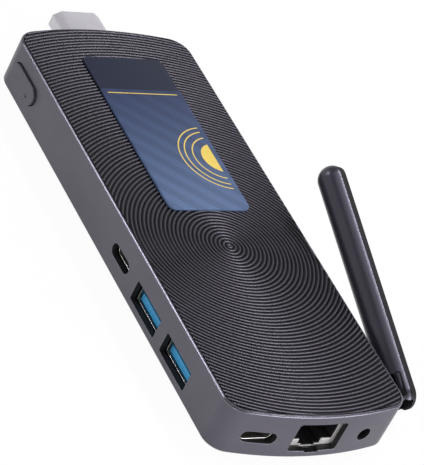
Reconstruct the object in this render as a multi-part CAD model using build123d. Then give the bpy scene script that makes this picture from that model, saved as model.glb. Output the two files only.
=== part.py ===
from build123d import *
import math
import os

# HDMI stick computer, in millimetres.
# The origin lies on the underside, at the middle of the plan outline.
# +Y runs to the video plug, +X to the antenna side, and +Z up through the rippled cover.

# Case
case_length = 135.7
case_width = 50.0
case_height = 13.25
front_bulge = 3.4
rear_bulge = 3.1
front_corner_radius = 5.5
rear_corner_radius = 6.0
wall = 1.6
floor_thickness = 1.4
rim_chamfer = 0.4
rim_width = 0.6
foot_chamfer = 0.4
port_setback = 0.35

# Clearances and shared thicknesses
overrun = 1.0
slip_gap = 0.02
seat_gap = 0.05
lid_gap = 0.12
port_gap = 0.15
board_gap = 0.4
sheet_metal = 0.3
contact_thickness = 0.1

# Rippled cover
cover_thickness = 1.5
ring_centre_x = 0.8
ring_centre_inset = 55.85
ring_pitch = 1.07
ring_height = 0.3
ridge_proud = 0.2
cover_post_radius = 2.2

# Label plate on the cover
label_width = 23.5
label_length = 55.7
label_thickness = 0.5
label_x = 1.3
label_inset = 39.85
label_corner_radius = 2.0

# Screws that hold the case and the board
standoff_height = 1.2
standoff_radius = 2.6
screw_radius = 0.95
screw_hole_radius = 1.1
screw_head_radius = 1.8
screw_head_recess_radius = 2.0
screw_head_height = 1.0
screw_head_recess = 1.2
screw_length = 9.0
rear_screw_side_inset = 5.4
rear_screw_end_inset = 6.65
front_left_screw_side_inset = 4.7
front_left_screw_end_inset = 14.85
front_right_screw_side_inset = 4.8
front_right_screw_end_inset = 27.85
board_screw_side_inset = 5.0
board_screw_end_inset = 69.35
board_screw_length = 2.6
board_screw_head_height = 0.8

# Main board
board_thickness = 1.2

# USB type A sockets in the left wall
usb_a_front_inset = 26.35
usb_a_pitch = 17.05
usb_a_centre_z = 4.85
usb_a_opening_length = 13.2
usb_a_opening_height = 5.5
usb_a_shell_length = 13.1
usb_a_shell_height = 5.7
usb_a_depth = 13.0
usb_a_tongue_length = 11.1
usb_a_tongue_thickness = 1.84
usb_a_tongue_low = 0.6
usb_a_tongue_setback = 0.3
usb_a_base_depth = 2.4
usb_a_tab_reach = 1.2
usb_a_tab_depth = 2.5
usb_a_contact_count = 4
usb_a_contact_pitch = 2.2
usb_a_contact_width = 1.0
usb_a_contact_length = 7.4
usb_a_contact_setback = 1.2

# USB type C sockets in the left wall and the front wall
usb_c_side_pitch = 15.85
usb_c_front_reach = 1.2
usb_c_centre_z = 5.85
usb_c_opening_length = 9.0
usb_c_opening_height = 3.3
usb_c_shell_length = 8.94
usb_c_shell_height = 3.26
usb_c_shell_wall = 0.25
usb_c_depth = 7.2
usb_c_tongue_length = 6.7
usb_c_tongue_thickness = 0.7
usb_c_tongue_setback = 0.9
usb_c_base_depth = 1.4
usb_c_foot_width = 1.0
usb_c_foot_depth = 1.4
usb_c_foot_inset = 2.1
usb_c_contact_count = 12
usb_c_contact_pitch = 0.5
usb_c_contact_width = 0.25
usb_c_contact_length = 3.6
usb_c_contact_setback = 0.5

# Shares of the free width left of the front sockets, one after the other from the button side
socket_gap_shares = (0.2541, 0.2037, 0.1765)

# Network socket in the front wall
rj45_opening_width = 13.4
rj45_opening_low = 2.2
rj45_opening_high = 10.6
rj45_notch_width = 3.8
rj45_notch_depth = 0.5
rj45_opening_corner = 0.8
rj45_cavity_width = 11.9
rj45_cavity_low = 4.0
rj45_cavity_high = 10.3
rj45_cavity_depth = 13.0
rj45_groove_width = 6.2
rj45_groove_low = 2.4
rj45_latch_low = 1.9
rj45_body_width = 15.4
rj45_body_depth = 16.5
rj45_body_low = 1.5
rj45_body_high = 11.3
rj45_contact_count = 8
rj45_contact_pitch = 1.02
rj45_contact_width = 0.4
rj45_contact_front = 2.2
rj45_contact_length = 8.6
rj45_contact_drop = 1.4
rj45_contact_thickness = 0.3

# Audio jack in the front wall
audio_z = 5.75
audio_bore_radius = 1.8
audio_bore_depth = 11.0
audio_body_width = 6.0
audio_body_depth = 12.2
audio_terminal_count = 3
audio_terminal_pitch = 3.4
audio_terminal_width = 1.0
audio_terminal_reach = 0.9
audio_terminal_height = 1.6

# Video plug at the rear
plug_width = 13.9
plug_height = 4.45
plug_centre_z = 8.0
plug_reach = 10.35
plug_bevel_across = 2.2
plug_bevel_down = 1.4
plug_wall = 0.35
plug_inner_reach = 8.0
plug_slot_width = 11.0
plug_slot_height = 1.5
plug_slot_depth = 9.0
plug_insert_setback = 1.0
plug_contact_count = 9
plug_contact_pitch = 1.0
plug_contact_width = 0.45
plug_contact_length = 6.5
plug_contact_setback = 1.0
carrier_width = 17.2
carrier_depth = 7.4
carrier_cap = 1.2

# Power button in the left wall
button_inset = 14.85
button_z = 6.45
button_length = 13.2
button_height = 5.1
button_proud = 0.7
button_travel = 0.35
button_flange_margin = 0.6
button_flange_thickness = 0.8
button_stem_radius = 1.4
button_stem_length = 0.6
button_lens_radius = 0.5
button_lens_along = -3.4
button_lens_down = 0.9
button_crown = 0.3
switch_length = 4.8
switch_depth = 3.6
switch_height = 4.8
switch_gap = 0.9
plunger_radius = 0.9
plunger_seat = 0.6
led_length = 1.6
led_width = 0.8
led_height = 0.9

# Processor, memory and cooling
processor_x = 3.0
processor_offset_y = -2.0
processor_side = 22.0
processor_height = 1.3
die_length = 11.0
die_width = 8.0
die_height = 0.2
pad_thickness = 0.6
pad_side = 18.0
spreader_side_gap = 4.4
spreader_front_gap = 1.1
spreader_rear_gap = 0.75
spreader_thickness = 1.5
spreader_fin_count = 13
spreader_fin_width = 1.0
spreader_head_room = 0.6
spreader_leg_radius = 2.2
spreader_leg_inset = 2.4
spreader_screw_length = 4.2
chip_height = 1.0
memory_width = 9.4
memory_length = 7.5
memory_inset = 2.8
memory_pitch = 10.0
storage_width = 11.5
storage_length = 13.0
storage_x = -5.0
storage_gap = 1.4
network_chip_side = 7.0
network_chip_x = 3.0
network_chip_gap = 0.6
transformer_width = 12.0
transformer_length = 12.0
transformer_height = 5.2
transformer_gap = 1.4
inductor_side = 5.0
inductor_height = 3.0
inductor_side_inset = 9.5
inductor_inset = 16.35
inductor_pitch = 6.4

# Radio module and its cable
module_side_inset = 13.4
module_inset = 48.85
module_width = 12.0
module_length = 16.0
module_thickness = 0.8
shield_inset = 0.6
shield_length = 12.0
shield_height = 1.8
cable_radius = 0.4
cable_plug_radius = 1.2
cable_plug_height = 1.2
cable_plug_inset = 1.8
cable_arc_share = 0.45
cable_route = [
    (15.7, -31.0, 5.2),
    (16.2, -36.6, 5.6),
    (16.9, -43.4, 6.2),
    (18.15, -49.8, 6.6),
    (18.3, -54.0, 6.62),
    (19.85, -55.6, 6.62),
]

# Clock cell
cell_radius = 6.25
cell_thickness = 2.0
cell_side_inset = 11.0
cell_gap = 0.35
cell_floor = 0.6
cell_wall = 0.8

# Antenna, its swivel in the right wall and its tilt pin
antenna_lift = 18.2
swivel_inset = 12.25
antenna_standoff = 8.2
antenna_half_height = 3.72
antenna_back_thickness = 1.8
antenna_back_draft = 12.0
antenna_reach = 57.8
antenna_shell_wall = 1.0
pocket_length = 4.5
pocket_half_height = 2.6
pocket_back_wall = 1.0
pin_inset = 1.3
pin_radius = 0.7
pin_cap = 0.45
pin_run_gap = 0.05
pin_end_gap = 0.35
barrel_radius = 2.0
barrel_end_gap = 0.1
neck_radius = 1.8
shaft_radius = 2.5
shaft_gap = 0.05
shaft_bore_radius = 0.7
collar_radius = 3.4
collar_thickness = 1.05
clip_thickness = 0.6
clip_radius = 3.6
clip_groove = 0.5
shaft_tail = 0.4
washer_thickness = 0.4
washer_radius = 3.3
element_end_gap = 5.6
element_half_height = 2.5
element_thickness = 0.8

# Heights and lines that several pieces share
half_width = case_width / 2
half_length = case_length / 2
board_low = floor_thickness + standoff_height
board_top = board_low + board_thickness
ledge_z = case_height - cover_thickness
inner_x = half_width - wall
port_face_x = -half_width + wall + port_setback
ridge_top = case_height + ridge_proud
usb_a_front_y = -half_length + usb_a_front_inset
usb_a_rear_y = usb_a_front_y + usb_a_pitch
usb_c_side_y = usb_a_rear_y + usb_c_side_pitch
button_y = half_length - button_inset
plug_tip_y = half_length + plug_reach
swivel_y = -half_length + swivel_inset
swivel_z = case_height / 2
antenna_outer_x = half_width + antenna_standoff
rj45_width = rj45_body_width + 2 * sheet_metal
front_free_width = 2 * inner_x - usb_c_shell_length - rj45_width - audio_body_width
usb_c_gap, rj45_gap, audio_gap = [share * front_free_width for share in socket_gap_shares]
usb_c_front_x = -inner_x + usb_c_gap + usb_c_shell_length / 2
rj45_centre_x = usb_c_front_x + usb_c_shell_length / 2 + rj45_gap + rj45_width / 2
audio_x = rj45_centre_x + rj45_width / 2 + audio_gap + audio_body_width / 2
side_y = Plane(origin=(0, 0, 0), x_dir=(0, 1, 0), z_dir=(1, 0, 0))
case_screw_places = [
    (rear_screw_side_inset - half_width, half_length - rear_screw_end_inset),
    (half_width - rear_screw_side_inset, half_length - rear_screw_end_inset),
    (front_left_screw_side_inset - half_width, front_left_screw_end_inset - half_length),
    (half_width - front_right_screw_side_inset, front_right_screw_end_inset - half_length),
]
board_screw_x = half_width - board_screw_side_inset
board_screw_y = -half_length + board_screw_end_inset
board_screw_places = [(-board_screw_x, board_screw_y), (board_screw_x, board_screw_y)]


def block(x_span, y_span, z_span):
    """A box between three pairs of limits."""
    size = [high - low for low, high in (x_span, y_span, z_span)]
    middle = [(low + high) / 2 for low, high in (x_span, y_span, z_span)]
    return Pos(*middle) * Box(*size)


def around(middle, size):
    """The two limits of a size that is centred on a place."""
    return (middle - size / 2, middle + size / 2)


def post(x, y, radius, z_low, z_high):
    """An upright round post."""
    return Pos(x, y, (z_low + z_high) / 2) * Cylinder(radius, z_high - z_low)


def rod_x(x_low, x_high, y, z, radius):
    """A round rod along X."""
    return Pos((x_low + x_high) / 2, y, z) * Rot(0, 90, 0) * Cylinder(radius, x_high - x_low)


def rod_y(x, y_low, y_high, z, radius):
    """A round rod along Y."""
    return Pos(x, (y_low + y_high) / 2, z) * Rot(90, 0, 0) * Cylinder(radius, y_high - y_low)


def slot_x(x_low, x_high, y, z, length, height):
    """A prism along X whose section is a slot lying along Y."""
    plane = Plane(origin=(x_low, y, z), x_dir=(0, 1, 0), z_dir=(1, 0, 0))
    return extrude(plane * SlotOverall(length, height), x_high - x_low)


def slot_y(x, y_low, y_high, z, length, height):
    """A prism along Y whose section is a slot lying along X."""
    plane = Plane(origin=(x, y_high, z), x_dir=(1, 0, 0), z_dir=(0, -1, 0))
    return extrude(plane * SlotOverall(length, height), y_high - y_low)


def end_arc_radius(bulge):
    """Radius of an end of the case from its bulge over the full width."""
    return (half_width**2 + bulge**2) / (2 * bulge)


def front_face_y(x, inset=0.0):
    """Place of the curved front wall, or of a line inside it, at one X."""
    radius = end_arc_radius(front_bulge) - inset
    centre = -half_length + end_arc_radius(front_bulge)
    return centre - math.sqrt(radius**2 - x**2)


def front_wall_y(x):
    """Inner surface of the front wall at one X, its round corner included."""
    reach = abs(x)
    arc = end_arc_radius(front_bulge)
    corner = front_corner_radius - wall
    corner_x = half_width - front_corner_radius
    if reach <= corner_x * (arc - wall) / (arc - front_corner_radius):
        return front_face_y(reach, wall)
    return front_face_y(corner_x, front_corner_radius) - math.sqrt(corner**2 - (reach - corner_x) ** 2)


def rear_face_y(x, inset=0.0):
    """Place of the curved rear wall, or of a line inside it, at one X."""
    radius = end_arc_radius(rear_bulge) - inset
    centre = half_length - end_arc_radius(rear_bulge)
    return centre + math.sqrt(radius**2 - x**2)


def case_outline(inset):
    """Plan of the case drawn in by an inset: straight sides, bulged ends and round corners."""
    side = half_width - inset
    front = front_face_y(side, inset)
    rear = rear_face_y(side, inset)
    lines = [
        Line((side, front), (side, rear)),
        ThreePointArc((side, rear), (0, rear_face_y(0, inset)), (-side, rear)),
        Line((-side, rear), (-side, front)),
        ThreePointArc((-side, front), (0, front_face_y(0, inset)), (side, front)),
    ]
    face = make_face(lines)
    face = fillet(face.vertices().sort_by(Axis.Y)[2:], rear_corner_radius - inset)
    return fillet(face.vertices().sort_by(Axis.Y)[:2], front_corner_radius - inset)


def case_prism(inset, z_low, z_high):
    """A slab of the case's plan between two heights."""
    return Pos(0, 0, z_low) * extrude(case_outline(inset), z_high - z_low)


def plug_section(margin):
    """Section of the video plug across X and Z, grown by a margin, with its upper corners bevelled."""
    half = plug_width / 2 + margin
    low = plug_centre_z - plug_height / 2 - margin
    high = plug_centre_z + plug_height / 2 + margin
    points = [
        (-half, low),
        (half, low),
        (half, high - plug_bevel_down),
        (half - plug_bevel_across, high),
        (plug_bevel_across - half, high),
        (-half, high - plug_bevel_down),
    ]
    return make_face(Polyline(*points, close=True))


def plug_prism(margin, y_low, y_high):
    """The video plug's section run along Y."""
    plane = Plane(origin=(0, y_high, 0), x_dir=(1, 0, 0), z_dir=(0, -1, 0))
    return extrude(plane * plug_section(margin), y_high - y_low)


def save(name, *pieces):
    """Write one node, with each piece as a solid of its own."""
    solids = [solid for piece in pieces for solid in piece.solids()]
    shape = solids[0] if len(solids) == 1 else Compound(solids)
    export_step(shape, f"parts/{name}.step")


def make_case_tub():
    """Floor and side walls in one moulding, with the openings and the standoffs."""
    tub = case_prism(0, 0, case_height)
    tub = chamfer(tub.edges().group_by(Axis.Z)[-1], rim_chamfer)
    tub = chamfer(tub.edges().group_by(Axis.Z)[0], foot_chamfer)
    tub -= case_prism(wall, floor_thickness, case_height + overrun)
    tub -= case_prism(rim_width, ledge_z, case_height + overrun)
    for x, y in case_screw_places + board_screw_places:
        tub += post(x, y, standoff_radius, floor_thickness, board_low)
    for x, y in case_screw_places:
        tub -= post(x, y, screw_hole_radius, -overrun, board_low + overrun)
        tub -= post(x, y, screw_head_recess_radius, -overrun, screw_head_recess)
    for x, y in board_screw_places:
        screw_end = board_top - board_screw_length - seat_gap
        tub -= post(x, y, screw_radius + slip_gap, screw_end, board_low + overrun)
    through = (-half_width - overrun, -inner_x + overrun)
    for y in (usb_a_front_y, usb_a_rear_y):
        tub -= block(through, around(y, usb_a_opening_length), around(usb_a_centre_z, usb_a_opening_height))
    tub -= slot_x(*through, usb_c_side_y, usb_c_centre_z, usb_c_opening_length, usb_c_opening_height)
    tub -= slot_x(*through, button_y, button_z, button_length + 2 * port_gap, button_height + 2 * port_gap)
    front = (-half_length - overrun, rj45_front_y() + slip_gap)
    opening = block(around(rj45_centre_x, rj45_opening_width), front, (rj45_opening_low, rj45_opening_high))
    tub -= fillet(opening.edges().filter_by(Axis.Y), rj45_opening_corner)
    tub -= block(around(rj45_centre_x, rj45_notch_width), front,
                 (rj45_opening_low - rj45_notch_depth, rj45_opening_high))
    tub -= slot_y(usb_c_front_x, -half_length - overrun, usb_c_front_face_y() + usb_c_front_reach,
                  usb_c_centre_z, usb_c_opening_length, usb_c_opening_height)
    tub -= rod_y(audio_x, -half_length - overrun, audio_front_y(), audio_z, audio_bore_radius)
    tub -= plug_prism(port_gap, carrier_rear_y() - slip_gap, half_length + overrun)
    tub -= rod_x(inner_x - overrun, half_width + overrun, swivel_y, swivel_z, shaft_radius + shaft_gap)
    save("case_tub", tub)


def ripple_solid():
    """A wide disc whose upper face carries concentric ridges."""
    ring_centre_y = -half_length + ring_centre_inset
    reach = math.hypot(half_width + abs(ring_centre_x), half_length + abs(ring_centre_y))
    count = math.ceil(reach / ring_pitch)
    valley = ridge_top - ring_height
    points = [(0, ledge_z), (0, valley)]
    for ring in range(count):
        points.append(((ring + 0.5) * ring_pitch, ridge_top))
        points.append(((ring + 1) * ring_pitch, valley))
    points.append((count * ring_pitch, ledge_z))
    profile = make_face(Polyline(*points, close=True))
    disc = revolve(Plane.XZ * profile, Axis.Z)
    return Pos(ring_centre_x, ring_centre_y, 0) * disc


def make_top_cover():
    """Rippled cover with its screw posts."""
    cover = case_prism(rim_width + lid_gap, ledge_z, ridge_top + overrun) & ripple_solid()
    screw_end = screw_head_recess - screw_head_height + screw_length
    for x, y in case_screw_places:
        cover += post(x, y, cover_post_radius, board_top + seat_gap, ledge_z + seat_gap)
        cover -= post(x, y, screw_radius + slip_gap, board_top - overrun, screw_end + seat_gap)
    save("top_cover", cover)


def make_label_plate():
    """Thin plate on the ridges, with round corners."""
    plate = extrude(RectangleRounded(label_width, label_length, label_corner_radius), label_thickness)
    save("label_plate", Pos(label_x, half_length - label_inset, ridge_top) * plate)


def countersunk_screw(x, y):
    """A case screw, driven from the underside."""
    head_low = screw_head_recess - screw_head_height
    head = post(x, y, screw_head_radius, head_low, screw_head_recess)
    shank = post(x, y, screw_radius, screw_head_recess, head_low + screw_length)
    drive = post(x, y, screw_radius, head_low - overrun, head_low + screw_head_height / 2)
    return head + shank - drive


def make_screws():
    """The screws of the case and of the board."""
    save("case_screws", *[countersunk_screw(x, y) for x, y in case_screw_places])
    pieces = []
    for x, y in board_screw_places:
        shank = post(x, y, screw_radius, board_top - board_screw_length, board_top)
        head = post(x, y, screw_head_radius, board_top, board_top + board_screw_head_height)
        drive = post(x, y, screw_radius, board_top + board_screw_head_height / 2, board_top + overrun)
        pieces.append(shank + head - drive)
    save("board_screws", *pieces)


def make_main_board():
    """Circuit board, notched for the sockets that sink through it."""
    board = case_prism(wall + board_gap, board_low, board_top)
    for y in (usb_a_front_y, usb_a_rear_y):
        board -= block((-half_width, port_face_x + usb_a_depth + port_gap),
                       around(y, usb_a_shell_length + 2 * port_gap), (0, case_height))
    board -= block(around(rj45_centre_x, rj45_body_width + 2 * port_gap),
                   (-half_length, rj45_front_y() + rj45_body_depth + port_gap), (0, case_height))
    board -= block((-half_width, button_notch_x()),
                   around(button_y, button_length + 2 * (button_flange_margin + board_gap)), (0, case_height))
    board -= block((shaft_inner_x() - board_gap, half_width),
                   around(swivel_y, 2 * (clip_radius + board_gap)), (0, case_height))
    for x, y in case_screw_places + board_screw_places:
        board -= post(x, y, screw_hole_radius, 0, case_height)
    for x, y in spreader_screw_places():
        board -= post(x, y, screw_radius + slip_gap, 0, case_height)
    save("main_board", board)


def make_usb_a(name, y):
    """One USB type A socket: metal shell, blue insert and its contacts."""
    back = port_face_x + usb_a_depth
    z = usb_a_centre_z
    shell = block((port_face_x, back), around(y, usb_a_shell_length), around(z, usb_a_shell_height))
    inner_length = usb_a_shell_length - 2 * sheet_metal
    inner_height = usb_a_shell_height - 2 * sheet_metal
    shell -= block((port_face_x - overrun, back - sheet_metal), around(y, inner_length),
                   around(z, inner_height))
    tab_x = around((port_face_x + back) / 2, usb_a_tab_depth)
    for side in (-1, 1):
        edge = y + side * (usb_a_shell_length / 2 - sheet_metal / 2)
        tip = y + side * (usb_a_shell_length / 2 + usb_a_tab_reach)
        shell += block(tab_x, sorted((edge, tip)), (board_top, board_top + sheet_metal))
    save(f"usb_a_shell_{name}", shell)
    floor = z - usb_a_shell_height / 2 + sheet_metal
    low = floor + usb_a_tongue_low
    high = low + usb_a_tongue_thickness
    insert_back = back - sheet_metal
    base = block((insert_back - usb_a_base_depth, insert_back), around(y, inner_length),
                 (floor, floor + inner_height))
    tongue = block((port_face_x + usb_a_tongue_setback, insert_back), around(y, usb_a_tongue_length),
                   (low, high))
    save(f"usb_a_insert_{name}", base + tongue)
    start = port_face_x + usb_a_tongue_setback + usb_a_contact_setback
    contacts = []
    for index in range(usb_a_contact_count):
        place = y + (index - (usb_a_contact_count - 1) / 2) * usb_a_contact_pitch
        contacts.append(block((start, start + usb_a_contact_length), around(place, usb_a_contact_width),
                              (high, high + contact_thickness)))
    save(f"usb_a_contacts_{name}", *contacts)


def usb_c_front_face_y():
    """Front plane of the forward USB type C socket, a short way inside its opening in the curved wall."""
    behind = max(front_wall_y(edge) for edge in around(usb_c_front_x, usb_c_shell_length)) + seat_gap
    return behind - usb_c_front_reach


def make_usb_c(name, place):
    """One USB type C socket, built along +Y from its mouth at the origin and then placed."""
    z = usb_c_centre_z
    outer = slot_y(0, 0, usb_c_depth, z, usb_c_shell_length, usb_c_shell_height)
    inner_length = usb_c_shell_length - 2 * usb_c_shell_wall
    inner_height = usb_c_shell_height - 2 * usb_c_shell_wall
    back = usb_c_depth - usb_c_shell_wall
    shell = outer - slot_y(0, -overrun, back, z, inner_length, inner_height)
    for side in (-1, 1):
        x = side * (usb_c_shell_length / 2 - usb_c_foot_inset)
        for y in (usb_c_foot_inset, usb_c_depth - usb_c_foot_inset):
            foot = block(around(x, usb_c_foot_width), around(y, usb_c_foot_depth), (board_top, z))
            shell += foot - slot_y(0, -overrun, usb_c_depth + overrun, z,
                                   usb_c_shell_length - usb_c_shell_wall,
                                   usb_c_shell_height - usb_c_shell_wall)
    save(f"usb_c_shell_{name}", place * shell)
    base = slot_y(0, back - usb_c_base_depth, back, z, inner_length, inner_height)
    tongue = block(around(0, usb_c_tongue_length), (usb_c_tongue_setback, back),
                   around(z, usb_c_tongue_thickness))
    save(f"usb_c_insert_{name}", place * (base + tongue))
    start = usb_c_tongue_setback + usb_c_contact_setback
    contacts = []
    for index in range(usb_c_contact_count):
        x = (index - (usb_c_contact_count - 1) / 2) * usb_c_contact_pitch
        for low in (z + usb_c_tongue_thickness / 2, z - usb_c_tongue_thickness / 2 - contact_thickness):
            strip = block(around(x, usb_c_contact_width), (start, start + usb_c_contact_length),
                          (low, low + contact_thickness))
            contacts.append(place * strip)
    save(f"usb_c_contacts_{name}", *contacts)


def rj45_front_y():
    """Front plane of the network socket, behind the curved wall."""
    return max(front_wall_y(edge) for edge in around(rj45_centre_x, rj45_width)) + seat_gap


def make_rj45():
    """Network socket: moulded body, metal shield with its front frame, and spring contacts."""
    front = rj45_front_y()
    body_front = front + sheet_metal
    back = front + rj45_body_depth
    x = rj45_centre_x
    depth = (front - overrun, front + rj45_cavity_depth)
    cavity = block(around(x, rj45_cavity_width), depth, (rj45_cavity_low, rj45_cavity_high))
    cavity += block(around(x, rj45_groove_width), depth, (rj45_groove_low, rj45_cavity_high))
    cavity += block(around(x, rj45_notch_width), depth, (rj45_latch_low, rj45_cavity_high))
    body = block(around(x, rj45_body_width), (body_front, back), (rj45_body_low, rj45_body_high))
    save("rj45_housing", body - cavity)
    shield = block(around(x, rj45_width), (front, back + sheet_metal),
                   (board_top, rj45_body_high + sheet_metal))
    shield -= block(around(x, rj45_body_width), (body_front, back), (0, rj45_body_high))
    shield += block(around(x, rj45_body_width), (front, body_front), (rj45_body_low, rj45_body_high))
    save("rj45_shield", shield - cavity)
    contacts = []
    tilt = math.degrees(math.asin(rj45_contact_drop / rj45_contact_length))
    start = front + rj45_contact_front
    for index in range(rj45_contact_count):
        place = x + (index - (rj45_contact_count - 1) / 2) * rj45_contact_pitch
        bar = Pos(0, rj45_contact_length / 2, -rj45_contact_thickness / 2) * Box(
            rj45_contact_width, rj45_contact_length, rj45_contact_thickness)
        contacts.append(Pos(place, start, rj45_cavity_high) * Rot(-tilt, 0, 0) * bar)
    save("rj45_contacts", *contacts)


def audio_front_y():
    """Front plane of the audio jack, behind the curved wall."""
    return front_wall_y(audio_x + audio_body_width / 2) + seat_gap


def make_audio_jack():
    """Audio jack with a plain bore, and its solder terminals."""
    front = audio_front_y()
    height = 2 * (audio_z - board_top)
    body = block(around(audio_x, audio_body_width), (front, front + audio_body_depth),
                 around(audio_z, height))
    body -= rod_y(audio_x, front - overrun, front + audio_bore_depth, audio_z, audio_bore_radius)
    save("audio_jack", body)
    terminals = []
    middle = front + audio_body_depth / 2
    edge = audio_x - audio_body_width / 2
    for index in range(audio_terminal_count):
        y = middle + (index - (audio_terminal_count - 1) / 2) * audio_terminal_pitch
        upright = block((edge - sheet_metal, edge), around(y, audio_terminal_width),
                        (board_top, board_top + audio_terminal_height))
        foot = block((edge - audio_terminal_reach, edge), around(y, audio_terminal_width),
                     (board_top, board_top + sheet_metal))
        terminals.append(upright + foot)
    save("audio_terminals", *terminals)


def carrier_rear_y():
    """Rear plane of the plug's carrier, inside the curved wall."""
    return rear_face_y(carrier_width / 2, wall) - seat_gap


def make_video_plug():
    """Video plug: metal shell, slotted insert, contacts, and the carrier on the board."""
    inner_end = carrier_rear_y() - plug_inner_reach
    shell = plug_prism(0, inner_end, plug_tip_y)
    shell -= plug_prism(-plug_wall, inner_end + plug_wall, plug_tip_y + overrun)
    save("hdmi_plug_shell", shell)
    insert_tip = plug_tip_y - plug_insert_setback
    insert = plug_prism(-plug_wall - slip_gap, inner_end + plug_wall, insert_tip)
    insert -= block(around(0, plug_slot_width), (insert_tip - plug_slot_depth, insert_tip + overrun),
                    around(plug_centre_z, plug_slot_height))
    save("hdmi_plug_insert", insert)
    contacts = []
    end = insert_tip - plug_contact_setback
    for index in range(plug_contact_count):
        x = (index - (plug_contact_count - 1) / 2) * plug_contact_pitch
        for low in (plug_centre_z + plug_slot_height / 2 - contact_thickness,
                    plug_centre_z - plug_slot_height / 2):
            contacts.append(block(around(x, plug_contact_width), (end - plug_contact_length, end),
                                  (low, low + contact_thickness)))
    save("hdmi_contacts", *contacts)
    rear = carrier_rear_y()
    top = plug_centre_z + plug_height / 2 + carrier_cap
    carrier = block(around(0, carrier_width), (rear - carrier_depth, rear), (board_top, top))
    carrier -= plug_prism(slip_gap, rear - carrier_depth - overrun, rear + overrun)
    save("hdmi_carrier", carrier)


def button_notch_x():
    """Edge of the board's notch behind the pressed power button."""
    return -inner_x + slip_gap + button_flange_thickness + button_travel + port_gap


def make_power_button():
    """Power button with its lens, and the switch and lamp behind it."""
    outer_x = -half_width - button_proud
    flange_x = -inner_x + slip_gap
    cap = slot_x(outer_x, flange_x, button_y, button_z, button_length, button_height)
    cap = fillet(cap.edges().group_by(Axis.X)[0], button_crown)
    flange_back = flange_x + button_flange_thickness
    cap += slot_x(flange_x, flange_back, button_y, button_z,
                  button_length + 2 * button_flange_margin, button_height + 2 * button_flange_margin)
    stem_end = flange_back + button_stem_length
    cap += rod_x(flange_back - overrun / 2, stem_end, button_y, button_z, button_stem_radius)
    lens_y = button_y + button_lens_along
    lens_z = button_z - button_lens_down
    cap -= rod_x(outer_x - overrun, flange_back + overrun, lens_y, lens_z, button_lens_radius)
    save("power_button", cap)
    lens_low = outer_x + button_crown
    save("button_lens", rod_x(lens_low, flange_back, lens_y, lens_z, button_lens_radius - slip_gap))
    switch_x = stem_end + switch_gap
    body = block((switch_x, switch_x + switch_depth), around(button_y, switch_length),
                 (board_top, board_top + switch_height))
    plunger_end = switch_x + plunger_seat
    body -= rod_x(switch_x - overrun, plunger_end + button_travel + port_gap, button_y, button_z,
                  plunger_radius + seat_gap)
    save("power_switch", body)
    save("switch_plunger", rod_x(stem_end, plunger_end, button_y, button_z, plunger_radius))
    lamp_x = button_notch_x() + port_gap
    save("status_lamp", block((lamp_x, lamp_x + led_width), around(lens_y, led_length),
                              (board_top, board_top + led_height)))


def spreader_spans():
    """Limits of the heat spreader along X and along Y, between the board screws and the clock cell."""
    half = inner_x - spreader_side_gap
    rear = cell_centre_y() - cell_radius - cell_wall - spreader_rear_gap
    return (-half, half), (board_screw_y + spreader_front_gap, rear)


def spreader_screw_places():
    """Places of the four screws that hold the heat spreader."""
    (left, right), (front, rear) = spreader_spans()
    return [(x, y) for x in (left + spreader_leg_inset, right - spreader_leg_inset)
            for y in (front + spreader_leg_inset, rear - spreader_leg_inset)]


def make_cooling():
    """Processor, thermal pad, finned heat spreader and its screws."""
    x_span, y_span = spreader_spans()
    processor_y = sum(y_span) / 2 + processor_offset_y
    package = block(around(processor_x, processor_side), around(processor_y, processor_side),
                    (board_top, board_top + processor_height))
    package_top = board_top + processor_height
    die_top = package_top + die_height
    package += block(around(processor_x, die_length), around(processor_y, die_width), (package_top, die_top))
    save("processor", package)
    pad = block(around(processor_x, pad_side), around(processor_y, pad_side),
                (package_top, die_top + pad_thickness))
    pad -= block(around(processor_x, die_length), around(processor_y, die_width),
                 (package_top - overrun, die_top))
    save("thermal_pad", pad)
    base_low = die_top + pad_thickness
    base_high = base_low + spreader_thickness
    spreader = block(x_span, y_span, (base_low, base_high))
    pitch = (x_span[1] - x_span[0] - spreader_fin_width) / (spreader_fin_count - 1)
    fin_high = ledge_z - spreader_head_room
    for index in range(spreader_fin_count):
        x = x_span[0] + spreader_fin_width / 2 + index * pitch
        spreader += block(around(x, spreader_fin_width), y_span, (base_high - slip_gap, fin_high))
    screws = []
    for x, y in spreader_screw_places():
        spreader += post(x, y, spreader_leg_radius, board_top, base_low + slip_gap)
        spreader -= post(x, y, screw_head_recess_radius, base_high, fin_high + overrun)
        spreader -= post(x, y, screw_radius + slip_gap, board_top - overrun, base_high + overrun)
        screw = post(x, y, screw_radius, base_high - spreader_screw_length, base_high)
        screw += post(x, y, screw_head_radius, base_high, base_high + board_screw_head_height)
        screw -= post(x, y, screw_radius, base_high + board_screw_head_height / 2, base_high + overrun)
        screws.append(screw)
    save("heat_spreader", spreader)
    save("spreader_screws", *screws)


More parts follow.
